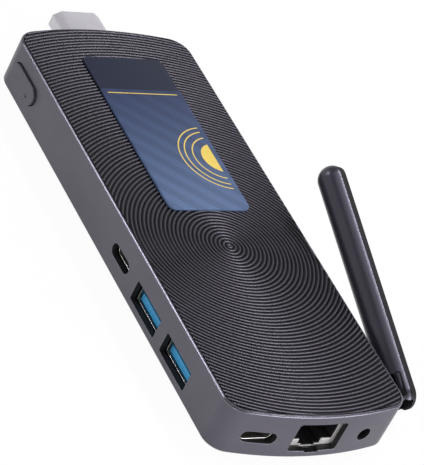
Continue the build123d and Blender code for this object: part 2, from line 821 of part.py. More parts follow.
def make_chips():
    """Memory, storage, network and power parts on the board."""
    chips = (board_top, board_top + chip_height)
    _, (spreader_front, spreader_rear) = spreader_spans()
    margin = spreader_leg_inset + spreader_leg_radius
    memory_left = -half_width + memory_inset
    memory_front = spreader_front + margin
    memory_space = spreader_rear - margin - memory_front
    memory_count = 1 + int((memory_space - memory_length) / memory_pitch)
    memory = []
    for index in range(memory_count):
        front = memory_front + index * memory_pitch
        memory.append(block((memory_left, memory_left + memory_width), (front, front + memory_length), chips))
    save("memory_chips", *memory)
    storage_y = usb_a_rear_y + (usb_a_shell_length + storage_length) / 2 + storage_gap
    save("storage_chip", block(around(storage_x, storage_width), around(storage_y, storage_length), chips))
    front = rj45_front_y() + rj45_body_depth + sheet_metal + transformer_gap
    rear = front + transformer_length
    save("network_transformer", block(around(rj45_centre_x, transformer_width), (front, rear),
                                      (board_top, board_top + transformer_height)))
    front = rear + network_chip_gap
    save("network_chip", block(around(network_chip_x, network_chip_side),
                               (front, front + network_chip_side), chips))
    left = -half_width + inductor_side_inset
    inductor_y = half_length - inductor_inset
    inductor_count = int((cell_centre_x() - cell_radius - cell_wall - left) / inductor_pitch)
    inductors = []
    for index in range(inductor_count):
        start = left + index * inductor_pitch
        inductors.append(block((start, start + inductor_side), around(inductor_y, inductor_side),
                               (board_top, board_top + inductor_height)))
    save("power_inductors", *inductors)


def make_radio():
    """Radio module, its shield, and the cable that runs to the swivel."""
    top = board_top + module_thickness
    x_span = around(half_width - module_side_inset, module_width)
    y_span = around(-half_length + module_inset, module_length)
    save("radio_module", block(x_span, y_span, (board_top, top)))
    shield_y = (y_span[1] - shield_inset - shield_length, y_span[1] - shield_inset)
    shield_x = (x_span[0] + shield_inset, x_span[1] - shield_inset)
    shield = block(shield_x, shield_y, (top, top + shield_height))
    shield -= block((shield_x[0] + sheet_metal, shield_x[1] - sheet_metal),
                    (shield_y[0] + sheet_metal, shield_y[1] - sheet_metal),
                    (top - overrun, top + shield_height - sheet_metal))
    save("radio_shield", shield)
    plug_x = x_span[1] - cable_plug_inset
    plug_y = y_span[0] + cable_plug_inset
    save("cable_plug", post(plug_x, plug_y, cable_plug_radius, top, top + cable_plug_height))
    start = (plug_x, plug_y - cable_plug_radius, top + cable_plug_height / 2)
    end = (shaft_inner_x() - seat_gap, swivel_y, swivel_z)
    make_antenna_cable([start, *cable_route, end])


def bend_radii(points):
    """Largest arc at each inner point of a route: a share of the shorter run beside it."""
    radii = []
    for before, here, after in zip(points, points[1:], points[2:]):
        run_in = Vector(*here) - Vector(*before)
        run_out = Vector(*after) - Vector(*here)
        half_turn = math.radians(run_in.get_angle(run_out)) / 2
        radii.append(cable_arc_share * min(run_in.length, run_out.length) / math.tan(half_turn))
    return radii


def make_antenna_cable(points):
    """Thin coaxial cable along a route of straight runs and arcs."""
    radii = bend_radii(points)
    path = FilletPolyline(*points, radius=radii)
    section = Plane(origin=path @ 0, z_dir=path % 0) * Circle(cable_radius)
    cable = sweep(section, path=path)
    print("antenna cable radii", [round(radius, 2) for radius in radii])
    print("volume", round(cable.volume, 2), "of", round(math.pi * cable_radius**2 * path.length, 2))
    save("antenna_cable", cable)


def cell_centre_x():
    """Middle of the clock cell along X."""
    return half_width - cell_side_inset


def cell_centre_y():
    """Middle of the clock cell along Y, in front of the plug's carrier."""
    return carrier_rear_y() - carrier_depth - cell_gap - cell_wall - cell_radius


def make_clock_cell():
    """Clock cell in its holder."""
    place = (cell_centre_x(), cell_centre_y())
    high = board_top + cell_floor + cell_thickness
    holder = post(*place, cell_radius + cell_wall, board_top, high)
    holder -= post(*place, cell_radius + slip_gap, board_top + cell_floor, high + overrun)
    save("cell_holder", holder)
    save("clock_cell", post(*place, cell_radius, board_top + cell_floor, high))


def shaft_inner_x():
    """Inner end of the swivel's shaft."""
    return inner_x - washer_thickness - clip_thickness - shaft_tail


def antenna_place():
    """Frame of the antenna at rest: X outward, Y along it, Z up across it, at the swivel's axis."""
    return Pos(antenna_outer_x - antenna_back_thickness, swivel_y, swivel_z) * Rot(antenna_lift, 0, 0)


def antenna_profile(half_height, length):
    """Outline of the antenna in its own side view: straight, with two half-round ends."""
    face = Pos(length / 2, 0) * SlotCenterToCenter(length, 2 * half_height)
    return side_y * face


def antenna_crown(radius, start):
    """Half-round bar with ball ends, on the inner side of the parting plane."""
    run = antenna_reach - start
    bar = Pos(0, start + run / 2, 0) * Rot(90, 0, 0) * Cylinder(radius, run)
    balls = Pos(0, start, 0) * Sphere(radius) + Pos(0, antenna_reach, 0) * Sphere(radius)
    return (bar + balls) - block((0, case_width), (-case_length, case_length), (-case_width, case_width))


def pocket_cut(depth):
    """Space for the knuckle, open to the root and to the case side."""
    return block((-case_width, depth), (-case_width, pocket_length),
                 (-pocket_half_height, pocket_half_height))


def make_antenna():
    """Antenna: two shells, the element between them and the pin they tilt on."""
    place = antenna_place()
    pocket_depth = antenna_back_thickness - pocket_back_wall
    inner = antenna_half_height - antenna_shell_wall
    hollow_start = pocket_length + antenna_shell_wall + inner
    pin_low = pin_end_gap - antenna_half_height
    pin_high = pocket_half_height + pin_cap
    front = antenna_crown(antenna_half_height, 0) - antenna_crown(inner, hollow_start)
    front -= pocket_cut(pocket_depth)
    front -= post(-pin_inset, 0, pin_radius + slip_gap, -antenna_half_height - overrun, pin_high + slip_gap)
    save("antenna_front_shell", place * front)
    profile = antenna_profile(antenna_half_height, antenna_reach)
    back = extrude(profile, antenna_back_thickness, taper=antenna_back_draft)
    hollow = extrude(antenna_profile(inner, antenna_reach - hollow_start), pocket_depth)
    back -= Pos(0, hollow_start, 0) * hollow
    back -= pocket_cut(pocket_depth)
    save("antenna_back_shell", place * back)
    element = block((pocket_depth - element_thickness, pocket_depth),
                    (hollow_start, antenna_reach - element_end_gap),
                    (-element_half_height, element_half_height))
    save("antenna_element", place * element)
    save("tilt_pin", place * post(-pin_inset, 0, pin_radius, pin_low, pin_high))


def make_swivel():
    """Swivel in the right wall: shaft, collar and knuckle, with its washer and clip."""
    pin_x = antenna_outer_x - antenna_back_thickness - pin_inset
    collar_x = half_width + seat_gap
    swivel = rod_x(shaft_inner_x(), collar_x + seat_gap, swivel_y, swivel_z, shaft_radius)
    swivel += rod_x(collar_x, collar_x + collar_thickness, swivel_y, swivel_z, collar_radius)
    swivel += rod_x(collar_x + seat_gap, pin_x, swivel_y, swivel_z, neck_radius)
    barrel = Cylinder(barrel_radius, 2 * (pocket_half_height - barrel_end_gap))
    turned = Pos(pin_x, swivel_y, swivel_z) * Rot(antenna_lift, 0, 0)
    swivel += turned * barrel
    swivel -= turned * Cylinder(pin_radius + pin_run_gap, 2 * (pocket_half_height + overrun))
    swivel -= rod_x(shaft_inner_x() - overrun, half_width, swivel_y, swivel_z, shaft_bore_radius)
    clip_low = shaft_inner_x() + shaft_tail
    groove = rod_x(clip_low, clip_low + clip_thickness, swivel_y, swivel_z, shaft_radius + overrun)
    groove -= rod_x(clip_low - overrun, clip_low + clip_thickness + overrun, swivel_y, swivel_z,
                    shaft_radius - clip_groove)
    swivel -= groove
    save("antenna_swivel", swivel)
    clip = rod_x(clip_low + slip_gap, clip_low + clip_thickness - slip_gap, swivel_y, swivel_z, clip_radius)
    clip -= rod_x(clip_low - overrun, clip_low + clip_thickness + overrun, swivel_y, swivel_z,
                  shaft_radius - clip_groove + slip_gap)
    mouth = shaft_radius - clip_groove
    clip -= block((clip_low - overrun, inner_x), around(swivel_y, 2 * mouth), (swivel_z, case_height))
    save("swivel_clip", turned_about_swivel(clip))
    washer = rod_x(inner_x - washer_thickness, inner_x, swivel_y, swivel_z, washer_radius)
    washer -= rod_x(inner_x - washer_thickness - overrun, inner_x + overrun, swivel_y, swivel_z,
                    shaft_radius + shaft_gap)
    save("friction_washer", washer)


def turned_about_swivel(piece):
    """A piece turned by the antenna's lift about the swivel's axis."""
    return piece.rotate(Axis((0, swivel_y, swivel_z), (1, 0, 0)), antenna_lift)


os.makedirs("parts", exist_ok=True)
make_case_tub()
make_top_cover()
make_label_plate()
make_screws()
make_main_board()
for socket_name, socket_y in (("front", usb_a_front_y), ("rear", usb_a_rear_y)):
    make_usb_a(socket_name, socket_y)
make_usb_c("side", Pos(port_face_x, usb_c_side_y, 0) * Rot(0, 0, -90))
make_usb_c("front", Pos(usb_c_front_x, usb_c_front_face_y(), 0))
make_rj45()
make_audio_jack()
make_video_plug()
make_power_button()
make_cooling()
make_chips()
make_radio()
make_clock_cell()
make_antenna()
make_swivel()
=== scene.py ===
import logging
import math
from collections.abc import Iterable, Mapping, Sequence
from dataclasses import dataclass
from enum import Enum
from functools import cache

import bmesh
import bpy
from bpy.types import Material, Node, NodeSocket, NodeTree, Object
from mathutils import Matrix, Vector


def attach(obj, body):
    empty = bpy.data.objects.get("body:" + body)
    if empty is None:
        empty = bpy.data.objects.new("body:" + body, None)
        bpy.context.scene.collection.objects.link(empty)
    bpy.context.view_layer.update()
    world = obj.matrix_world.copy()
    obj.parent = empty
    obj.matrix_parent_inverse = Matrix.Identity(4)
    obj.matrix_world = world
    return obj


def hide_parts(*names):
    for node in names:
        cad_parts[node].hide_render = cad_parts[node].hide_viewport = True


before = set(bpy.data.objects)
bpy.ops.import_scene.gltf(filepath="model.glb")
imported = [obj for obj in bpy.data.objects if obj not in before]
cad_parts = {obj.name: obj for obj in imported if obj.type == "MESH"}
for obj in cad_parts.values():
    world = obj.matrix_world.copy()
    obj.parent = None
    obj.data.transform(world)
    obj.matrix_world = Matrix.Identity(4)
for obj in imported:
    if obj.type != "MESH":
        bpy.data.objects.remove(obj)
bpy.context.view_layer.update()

# Everything is placed in millimetres and turned into metres when a mesh is made.
MM = 0.001
# How far a cutter overruns what it cuts, and a gap too small to see
OVERRUN = 1.0
HAIR = 0.001
WEAR_MARK = "edge_wear"
RIM_MARK = "cut_rim"

# Sizes that a piece shares with its finish
RING_CENTRE = (0.8, -12.0)
RING_PITCH = 1.07
LABEL_CENTRE = (1.3, 28.0)
LABEL_WIDTH = 23.5
LABEL_LENGTH = 55.7

WHITE = (1.0, 1.0, 1.0, 1.0)

log = logging.getLogger("stick_computer")

Pair = tuple[float, float]
Point = tuple[float, float, float]
Colour = tuple[float, float, float, float]
Outline = list[Pair]


class Shade(Enum):
    """Colours of the finishes, as screen values from 0 to 255."""

    CASE_GREY = (88, 86, 95)
    CASE_GREY_DEEP = (80, 78, 87)
    CASE_WORN = (150, 147, 158)
    # Partly painted highlight: the cut rim's paler grey stands in for part of the chamfer's highlight
    CASE_RIM_AND_HIGHLIGHT = (98, 96, 105)
    # Painted shade: near black for the cut walls inside the openings and for the slot over the antenna's
    # hinge
    RECESS_SHADE_BLACK = (16, 16, 18)
    OPENING_SCUFF = (30, 30, 34)
    RIDGE_GREY = (74, 72, 79)
    # Painted shade: the grooves between the ridges are coloured darker
    GROOVE_PAINTED_SHADE = (20, 20, 25)
    LABEL_NAVY = (30, 37, 56)
    LABEL_BLUE = (48, 61, 94)
    LABEL_SKY = (84, 107, 142)
    LABEL_GOLD = (232, 204, 96)
    ANTENNA_BLACK = (24, 24, 28)
    # Partly painted shade: the antenna's matt back shell is coloured darker for the shade on its narrow
    # upper face
    ANTENNA_BACK_AND_SHADE = (14, 14, 17)
    ANTENNA_SCUFF = (44, 43, 50)
    PLASTIC_BLACK = (22, 22, 24)
    PLASTIC_SCUFF = (48, 48, 52)
    SOCKET_BLUE = (60, 154, 202)
    SOCKET_BLUE_DEEP = (44, 130, 180)
    PLUG_STEEL = (206, 205, 208)
    PLUG_STEEL_DEEP = (188, 187, 191)
    STEEL = (158, 158, 164)
    STEEL_DEEP = (140, 140, 147)
    DARK_STEEL = (48, 47, 52)
    DARK_STEEL_DEEP = (30, 30, 34)
    SOCKET_STEEL = (222, 220, 216)
    SOCKET_STEEL_DEEP = (184, 182, 178)
    GOLD = (214, 172, 92)
    GOLD_DEEP = (168, 124, 58)
    BOARD_BLACK = (18, 20, 22)
    BOARD_TRACE = (32, 36, 38)
    CHIP_BLACK = (26, 27, 30)
    CHIP_SCUFF = (58, 60, 64)
    PAD_GREY = (122, 128, 136)
    PAD_GREY_DEEP = (98, 104, 112)
    ALUMINIUM = (176, 178, 182)
    ALUMINIUM_DEEP = (134, 136, 142)
    LENS = (226, 236, 240)
    PLAIN_SHEEN = (255, 255, 255)
    VIOLET_SHEEN = (236, 233, 255)
    DUST = (168, 164, 158)
    FLOOR = (250, 250, 251)

    def linear(self) -> Colour:
        """The colour as the linear values that shaders take, by the curve of screen values.

        Returns:
            Red, green and blue, and an alpha of 1.
        """
        channels = [value / 255 for value in self.value]
        red, green, blue = [
            value / 12.92 if value <= 0.04045 else ((value + 0.055) / 1.055) ** 2.4
            for value in channels
        ]
        return (red, green, blue, 1.0)


# Node trees

NOISE_ROUGHNESS = 0.55


class Canvas:
    """A node tree with short ways to add nodes and join them."""

    def __init__(self, tree: NodeTree) -> None:
        """Keep the node tree of a material, a world or a node group."""
        self.tree = tree

    def node(self, kind: str, inputs: Mapping | None = None, **settings: object) -> Node:
        """Add one node.

        Args:
            kind: The node's type.
            inputs: Values or sockets for its inputs, by name or index.
            settings: Properties of the node itself, which are set before its inputs.

        Returns:
            The new node.
        """
        node = self.tree.nodes.new(kind)
        for name, value in settings.items():
            setattr(node, name, value)
        for name, value in (inputs or {}).items():
            self.feed(node.inputs[name], value)
        return node

    def feed(self, socket: NodeSocket, value: object) -> None:
        """Link another socket to an input or set its value.

        Args:
            socket: The input.
            value: Another node's output, a shade or a plain value.
        """
        if isinstance(value, NodeSocket):
            self.tree.links.new(value, socket)
        else:
            socket.default_value = value.linear() if isinstance(value, Shade) else value

    def math(self, operation: str, first: object, second: object = 0.0) -> NodeSocket:
        """The result of arithmetic on two values or sockets."""
        return self.node("ShaderNodeMath", {0: first, 1: second}, operation=operation).outputs[0]

    def spread(self, value: object, low: float, high: float, start: float = 0.0,
               end: float = 1.0) -> NodeSocket:
        """The span from low to high mapped onto start to end, and clamped at both ends."""
        inputs = {"Value": value, "From Min": low, "From Max": high, "To Min": start, "To Max": end}
        return self.node("ShaderNodeMapRange", inputs, clamp=True).outputs["Result"]

    def ramp(self, mask: NodeSocket, start: float, end: float) -> NodeSocket:
        """Values from start, where a mask is 0, to end, where it is 1."""
        return self.spread(mask, 0.0, 1.0, start, end)

    def blend(self, share: object, first: object, second: object) -> NodeSocket:
        """A mix of two colours, where the share says how much of the second shows."""
        inputs = {"Factor": share, "A": first, "B": second}
        return self.node("ShaderNodeMix", inputs, data_type="RGBA").outputs["Result"]

    def vectors(self, operation: str, first: NodeSocket, second: object) -> NodeSocket:
        """The vector that comes from arithmetic on two vectors."""
        return self.node("ShaderNodeVectorMath", {0: first, 1: second}, operation=operation).outputs[0]

    def noise(self, place: NodeSocket, size: object, detail: float = 2.0) -> NodeSocket:
        """Cloudy noise whose lumps have a real size.

        Args:
            place: Coordinates in millimetres.
            size: Size of a lump in millimetres.
            detail: Layers of finer noise.

        Returns:
            The noise value's socket.
        """
        scale = self.math("DIVIDE", 1.0, size)
        inputs = {"Vector": place, "Scale": scale, "Detail": detail, "Roughness": NOISE_ROUGHNESS}
        return self.node("ShaderNodeTexNoise", inputs).outputs["Fac"]

    def place(self) -> NodeSocket:
        """Coordinates on the piece in millimetres."""
        inputs = {0: self.node("ShaderNodeTexCoord").outputs["Object"], "Scale": 1 / MM}
        return self.node("ShaderNodeVectorMath", inputs, operation="SCALE").outputs[0]

    def upward(self, direction: NodeSocket) -> NodeSocket:
        """How far a direction points up, from -1 to 1."""
        return self.node("ShaderNodeSeparateXYZ", {0: direction}).outputs["Z"]

    def mark(self, name: str) -> NodeSocket:
        """What a mesh's own mark of that name says at each place, from 0 to 1."""
        return self.node("ShaderNodeAttribute", attribute_name=name).outputs["Fac"]

    def effect(self, group: NodeTree, **inputs: object) -> Mapping[str, NodeSocket]:
        """Place a shared effect.

        Args:
            group: The effect's node group.
            inputs: Its values by input name, with underscores for spaces.

        Returns:
            The effect's outputs by name.
        """
        node = self.node("ShaderNodeGroup", node_tree=group)
        for name, value in inputs.items():
            self.feed(node.inputs[name.replace("_", " ").capitalize()], value)
        return node.outputs


# Shared effects

# Spans of noise that the masks are made of, and the least that a broken mask keeps
NOISE_SPAN = (0.3, 0.7)
PATCH_SPAN = (0.25, 0.65)
SPECK_SPAN = (0.58, 0.8)
SCUFF_SPAN = (0.0, 0.08)
UPWARD_SPAN = (0.2, 1.0)
GRAIN_LEAST = 0.6
WEAR_LEAST = 0.2
SCUFF_LEAST = 0.35


class EffectCanvas(Canvas):
    """A shared effect under construction: a node group with named inputs and outputs."""

    def __init__(self, name: str, inputs: Mapping[str, object], outputs: Sequence[str]) -> None:
        """Make the group and its sockets.

        Args:
            name: The effect's name.
            inputs: Each input's name and its usual value.
            outputs: The names of the outputs, all plain values.
        """
        super().__init__(bpy.data.node_groups.new(name, "ShaderNodeTree"))
        for label, value in inputs.items():
            kind = "NodeSocketFloat" if isinstance(value, float) else "NodeSocketVector"
            socket = self.tree.interface.new_socket(name=label, in_out="INPUT", socket_type=kind)
            socket.default_value = value
        for label in outputs:
            self.tree.interface.new_socket(name=label, in_out="OUTPUT", socket_type="NodeSocketFloat")
        self.entry = self.node("NodeGroupInput").outputs
        self.exit = self.node("NodeGroupOutput").inputs

    def broken(self, mask: NodeSocket, least: float) -> NodeSocket:
        """A mask broken up by patches of the size that the group's input gives.

        Args:
            mask: The whole mask.
            least: The share of it that stays between the patches.

        Returns:
            The broken mask's socket.
        """
        clouds = self.noise(self.place(), self.entry["Patch size"], detail=4.0)
        patches = self.spread(clouds, *PATCH_SPAN, least, 1.0)
        return self.math("MULTIPLY", mask, patches)


@cache
def grain_effect() -> NodeTree:
    """Fine speckled grain of a blasted or moulded surface.

    Returns:
        The group, with the grain's size as input and its mask and height as outputs.
    """
    canvas = EffectCanvas("Surface grain", {"Size": 0.1, "Unevenness": 12.0}, ["Mask", "Height"])
    place = canvas.place()
    fine = canvas.noise(place, canvas.entry["Size"], detail=3.0)
    slow = canvas.noise(place, canvas.entry["Unevenness"], detail=1.0)
    mask = canvas.spread(fine, *NOISE_SPAN)
    patchy = canvas.spread(slow, *NOISE_SPAN, GRAIN_LEAST, 1.0)
    canvas.feed(canvas.exit["Mask"], mask)
    canvas.feed(canvas.exit["Height"], canvas.math("MULTIPLY", mask, patchy))
    return canvas.tree


@cache
def edge_wear_effect() -> NodeTree:
    """Wear on the faces that round a piece's edges, broken up by patches.

    Returns:
        The group, with the patch size as input and a mask as output.
    """
    canvas = EffectCanvas("Edge wear", {"Patch size": 3.0}, ["Mask"])
    canvas.feed(canvas.exit["Mask"], canvas.broken(canvas.mark(WEAR_MARK), WEAR_LEAST))
    return canvas.tree


@cache
def corner_scuff_effect() -> NodeTree:
    """Scuffs where a surface turns outward, broken up by patches.

    Returns:
        The group, with the scuffs' onset and patch size as inputs and a mask as output.
    """
    canvas = EffectCanvas("Corner scuffs", {"Onset": 0.52, "Patch size": 3.0}, ["Mask"])
    pointiness = canvas.node("ShaderNodeNewGeometry").outputs["Pointiness"]
    beyond = canvas.math("SUBTRACT", pointiness, canvas.entry["Onset"])
    edge = canvas.spread(beyond, *SCUFF_SPAN)
    canvas.feed(canvas.exit["Mask"], canvas.broken(edge, SCUFF_LEAST))
    return canvas.tree


@cache
def dust_effect() -> NodeTree:
    """Sparse dust that settles on what faces up.

    Returns:
        The group, with the amount and the specks' size as inputs and a mask as output.
    """
    canvas = EffectCanvas("Settled dust", {"Amount": 0.1, "Speck size": 0.5}, ["Mask"])
    height = canvas.upward(canvas.node("ShaderNodeNewGeometry").outputs["Normal"])
    level = canvas.spread(height, *UPWARD_SPAN)
    specks = canvas.noise(canvas.place(), canvas.entry["Speck size"], detail=5.0)
    settled = canvas.math("MULTIPLY", level, canvas.spread(specks, *SPECK_SPAN))
    canvas.feed(canvas.exit["Mask"], canvas.math("MULTIPLY", settled, canvas.entry["Amount"]))
    return canvas.tree


@cache
def brushed_effect() -> NodeTree:
    """Fine parallel lines of a rolled or brushed metal.

    Returns:
        The group, with the stretch along each axis and the lines' size as inputs and a mask as output.
    """
    canvas = EffectCanvas("Brushed lines", {"Stretch": (1.0, 0.05, 1.0), "Line size": 0.08}, ["Mask"])
    stretched = canvas.vectors("MULTIPLY", canvas.place(), canvas.entry["Stretch"])
    lines = canvas.noise(stretched, canvas.entry["Line size"], detail=3.0)
    canvas.feed(canvas.exit["Mask"], canvas.spread(lines, *NOISE_SPAN))
    return canvas.tree


@cache
def drift_effect() -> NodeTree:
    """Slow change of tone over a large surface.

    Returns:
        The group, with the size of the change as input and a mask as output.
    """
    canvas = EffectCanvas("Tone drift", {"Span": 30.0}, ["Mask"])
    clouds = canvas.noise(canvas.place(), canvas.entry["Span"])
    canvas.feed(canvas.exit["Mask"], canvas.spread(clouds, *NOISE_SPAN))
    return canvas.tree


@cache
def ring_effect() -> NodeTree:
    """Crests and valleys of concentric ridges.

    Returns:
        The group, with the centre and pitch as inputs and a mask that is 1 on the crests.
    """
    canvas = EffectCanvas("Ripple rings", {"Centre": (0.0, 0.0, 0.0), "Pitch": 1.0}, ["Mask"])
    offset = canvas.vectors("SUBTRACT", canvas.place(), canvas.entry["Centre"])
    flat = canvas.vectors("MULTIPLY", offset, (1.0, 1.0, 0.0))
    reach = canvas.node("ShaderNodeVectorMath", {0: flat}, operation="LENGTH").outputs["Value"]
    turns = canvas.math("DIVIDE", reach, canvas.entry["Pitch"])
    wave = canvas.math("SINE", canvas.math("MULTIPLY", turns, math.pi))
    canvas.feed(canvas.exit["Mask"], canvas.math("ABSOLUTE", wave))
    return canvas.tree


# Finishes


class MaterialCanvas(Canvas):
    """The node tree of one material, with its Principled shader."""

    def __init__(self, name: str) -> None:
        """Make the material.

        Args:
            name: The material's name.
        """
        self.material = bpy.data.materials.new(name)
        self.material.use_nodes = True
        super().__init__(self.material.node_tree)
        self.shader = self.tree.nodes["Principled BSDF"]

    def surface(self, **values: object) -> None:
        """Set or link the shader's sockets.

        Args:
            values: Socket names with underscores for spaces, and their values.
        """
        labels = {label.lower(): label for label in self.shader.inputs.keys()}
        for name, value in values.items():
            self.feed(self.shader.inputs[labels[name.replace("_", " ").lower()]], value)

    def grain(self, size: float, depth: float, rough: Pair) -> NodeSocket:
        """Give the surface a fine grain in its relief.

        Args:
            size: The grain's size in millimetres.
            depth: Its depth in millimetres.
            rough: Roughness of its hollows and of its tips.

        Returns:
            The grain's roughness.
        """
        grain = self.effect(grain_effect(), size=size)
        self.relief(grain["Height"], depth)
        return self.ramp(grain["Mask"], *rough)

    def relief(self, height: NodeSocket, depth: float) -> None:
        """Give the surface a fine relief, from heights of 0 to 1 and a depth in millimetres."""
        bump = self.node("ShaderNodeBump", {"Height": height, "Distance": depth * MM, "Strength": 1.0})
        self.surface(normal=bump.outputs["Normal"])


@dataclass(frozen=True)
class BlastedMetal:
    """Grey coated metal with a fine blasted grain, paler worn edges and a smoother cut rim whose paler grey
    is partly painted highlight.
    """

    name: str = "Blasted grey"
    rough: Pair = (0.31, 0.43)
    metallic: float = 0.5
    gloss: float = 0.4
    grain_size: float = 0.16
    grain_depth: float = 0.006
    drift_size: float = 26.0
    wear_size: float = 4.0
    wear_share: float = 0.4
    dust_share: float = 0.08
    rim_metallic: float = 0.7
    rim_polish: float = 0.13

    def material(self) -> Material:
        """Build the finish's material.

        Returns:
            The material.
        """
        canvas = MaterialCanvas(self.name)
        blasted = canvas.grain(self.grain_size, self.grain_depth, self.rough)
        drift = canvas.effect(drift_effect(), span=self.drift_size)
        wear = canvas.effect(edge_wear_effect(), patch_size=self.wear_size)
        dust = canvas.effect(dust_effect(), amount=self.dust_share)
        rim = canvas.mark(RIM_MARK)
        tone = canvas.blend(drift["Mask"], Shade.CASE_GREY, Shade.CASE_GREY_DEEP)
        worn = canvas.blend(canvas.math("MULTIPLY", wear["Mask"], self.wear_share), tone, Shade.CASE_WORN)
        # Partly painted highlight: the cut chamfer round the rim is given a paler grey.
        rim_cut_and_highlight = canvas.blend(rim, worn, Shade.CASE_RIM_AND_HIGHLIGHT)
        dusty = canvas.blend(dust["Mask"], rim_cut_and_highlight, Shade.DUST)
        rough = canvas.math("SUBTRACT", blasted, canvas.math("MULTIPLY", rim, self.rim_polish))
        metallic = canvas.ramp(rim, self.metallic, self.rim_metallic)
        canvas.surface(base_color=dusty, metallic=metallic, roughness=rough, specular_ior_level=self.gloss)
        return canvas.material


@dataclass(frozen=True)
class RippledMetal:
    """Dark coated metal turned in fine concentric ridges, with painted shade darkening the grooves between
    the crests.
    """

    name: str = "Rippled cover"
    rough: Pair = (0.32, 0.44)
    metallic: float = 0.75
    crest_span: Pair = (0.55, 1.0)
    grain_size: float = 0.12
    grain_depth: float = 0.0004
    dust_share: float = 0.05

    def material(self) -> Material:
        """Build the finish's material.

        Returns:
            The material.
        """
        canvas = MaterialCanvas(self.name)
        rings = canvas.effect(ring_effect(), centre=(*RING_CENTRE, 0.0), pitch=RING_PITCH)
        dust = canvas.effect(dust_effect(), amount=self.dust_share)
        # Painted shade: the grooves are coloured darker than the crests
        crest = canvas.spread(rings["Mask"], *self.crest_span)
        tone = canvas.blend(crest, Shade.GROOVE_PAINTED_SHADE, Shade.RIDGE_GREY)
        dusty = canvas.blend(dust["Mask"], tone, Shade.DUST)
        rough = canvas.grain(self.grain_size, self.grain_depth, self.rough)
        canvas.surface(base_color=dusty, metallic=self.metallic, roughness=rough)
        return canvas.material


@dataclass(frozen=True)
class MouldedPlastic:
    """Moulded plastic with a stippled grain and scuffed edges."""

    name: str
    body: Shade
    scuff: Shade
    rough: Pair = (0.39, 0.53)
    grain_size: float = 0.12
    grain_depth: float = 0.005
    drift_size: float = 9.0
    drift_share: float = 0.25
    scuff_onset: float = 0.53
    scuff_size: float = 1.5
    scuff_share: float = 0.3
    coat: float = 0.0
    coat_roughness: float = 0.3
    gloss: float = 0.5
    sheen: Shade = Shade.PLAIN_SHEEN

    def material(self) -> Material:
        """Build the finish's material.

        Returns:
            The material.
        """
        canvas = MaterialCanvas(self.name)
        scuffs = canvas.effect(corner_scuff_effect(), onset=self.scuff_onset, patch_size=self.scuff_size)
        drift = canvas.effect(drift_effect(), span=self.drift_size)
        drifted = canvas.math("MULTIPLY", drift["Mask"], self.drift_share)
        scuffed = canvas.math("MULTIPLY", scuffs["Mask"], self.scuff_share)
        tone = canvas.blend(drifted, self.body, self.scuff)
        worn = canvas.blend(scuffed, tone, self.scuff)
        rough = canvas.grain(self.grain_size, self.grain_depth, self.rough)
        canvas.surface(base_color=worn, metallic=0.0, roughness=rough, coat_weight=self.coat,
                       coat_roughness=self.coat_roughness, specular_ior_level=self.gloss,
                       specular_tint=self.sheen)
        return canvas.material


@dataclass(frozen=True)
class BareMetal:
    """Bare or plated metal with fine rolled lines and darker smears."""

    name: str
    body: Shade
    deep: Shade
    rough: Pair = (0.24, 0.4)
    metallic: float = 1.0
    line_size: float = 0.1
    line_depth: float = 0.002
    stretch: Point = (1.0, 0.06, 1.0)
    smear_size: float = 4.0
    smear_share: float = 0.6

    def material(self) -> Material:
        """Build the finish's material.

        Returns:
            The material.
        """
        canvas = MaterialCanvas(self.name)
        lines = canvas.effect(brushed_effect(), stretch=self.stretch, line_size=self.line_size)
        drift = canvas.effect(drift_effect(), span=self.smear_size)
        smears = canvas.math("MULTIPLY", drift["Mask"], self.smear_share)
        tone = canvas.blend(smears, self.body, self.deep)
        rough = canvas.ramp(lines["Mask"], *self.rough)
        canvas.surface(base_color=tone, metallic=self.metallic, roughness=rough)
        canvas.relief(lines["Mask"], self.line_depth)
        return canvas.material


@dataclass(frozen=True)
class CircuitBoard:
    """Black solder mask over faint traces."""

    name: str = "Circuit board"
    rough: Pair = (0.3, 0.45)
    grain_size: float = 0.4
    trace_pitch: float = 0.8
    trace_depth: float = 0.02
    trace_shares: Pair = (0.1, 0.8)

    def material(self) -> Material:
        """Build the finish's material.

        Returns:
            The material.
        """
        canvas = MaterialCanvas(self.name)
        inputs = {"Vector": canvas.place(), "Scale": 1.0 / self.trace_pitch}
        bricks = canvas.node("ShaderNodeTexBrick", inputs)
        traces = canvas.ramp(bricks.outputs["Fac"], *self.trace_shares)
        grain = canvas.effect(grain_effect(), size=self.grain_size)
        tone = canvas.blend(traces, Shade.BOARD_BLACK, Shade.BOARD_TRACE)
        rough = canvas.ramp(grain["Mask"], *self.rough)
        canvas.surface(base_color=tone, metallic=0.0, roughness=rough)
        canvas.relief(traces, self.trace_depth)
        return canvas.material


@dataclass(frozen=True)
class ClearPlastic:
    """Clear moulded plastic with a slight haze."""

    name: str = "Clear lens"
    rough: Pair = (0.12, 0.22)
    grain_size: float = 0.2
    clearness: float = 0.8
    ior: float = 1.49

    def material(self) -> Material:
        """Build the finish's material.

        Returns:
            The material.
        """
        canvas = MaterialCanvas(self.name)
        grain = canvas.effect(grain_effect(), size=self.grain_size)
        rough = canvas.ramp(grain["Mask"], *self.rough)
        canvas.surface(base_color=Shade.LENS, metallic=0.0, roughness=rough,
                       transmission_weight=self.clearness, ior=self.ior)
        return canvas.material


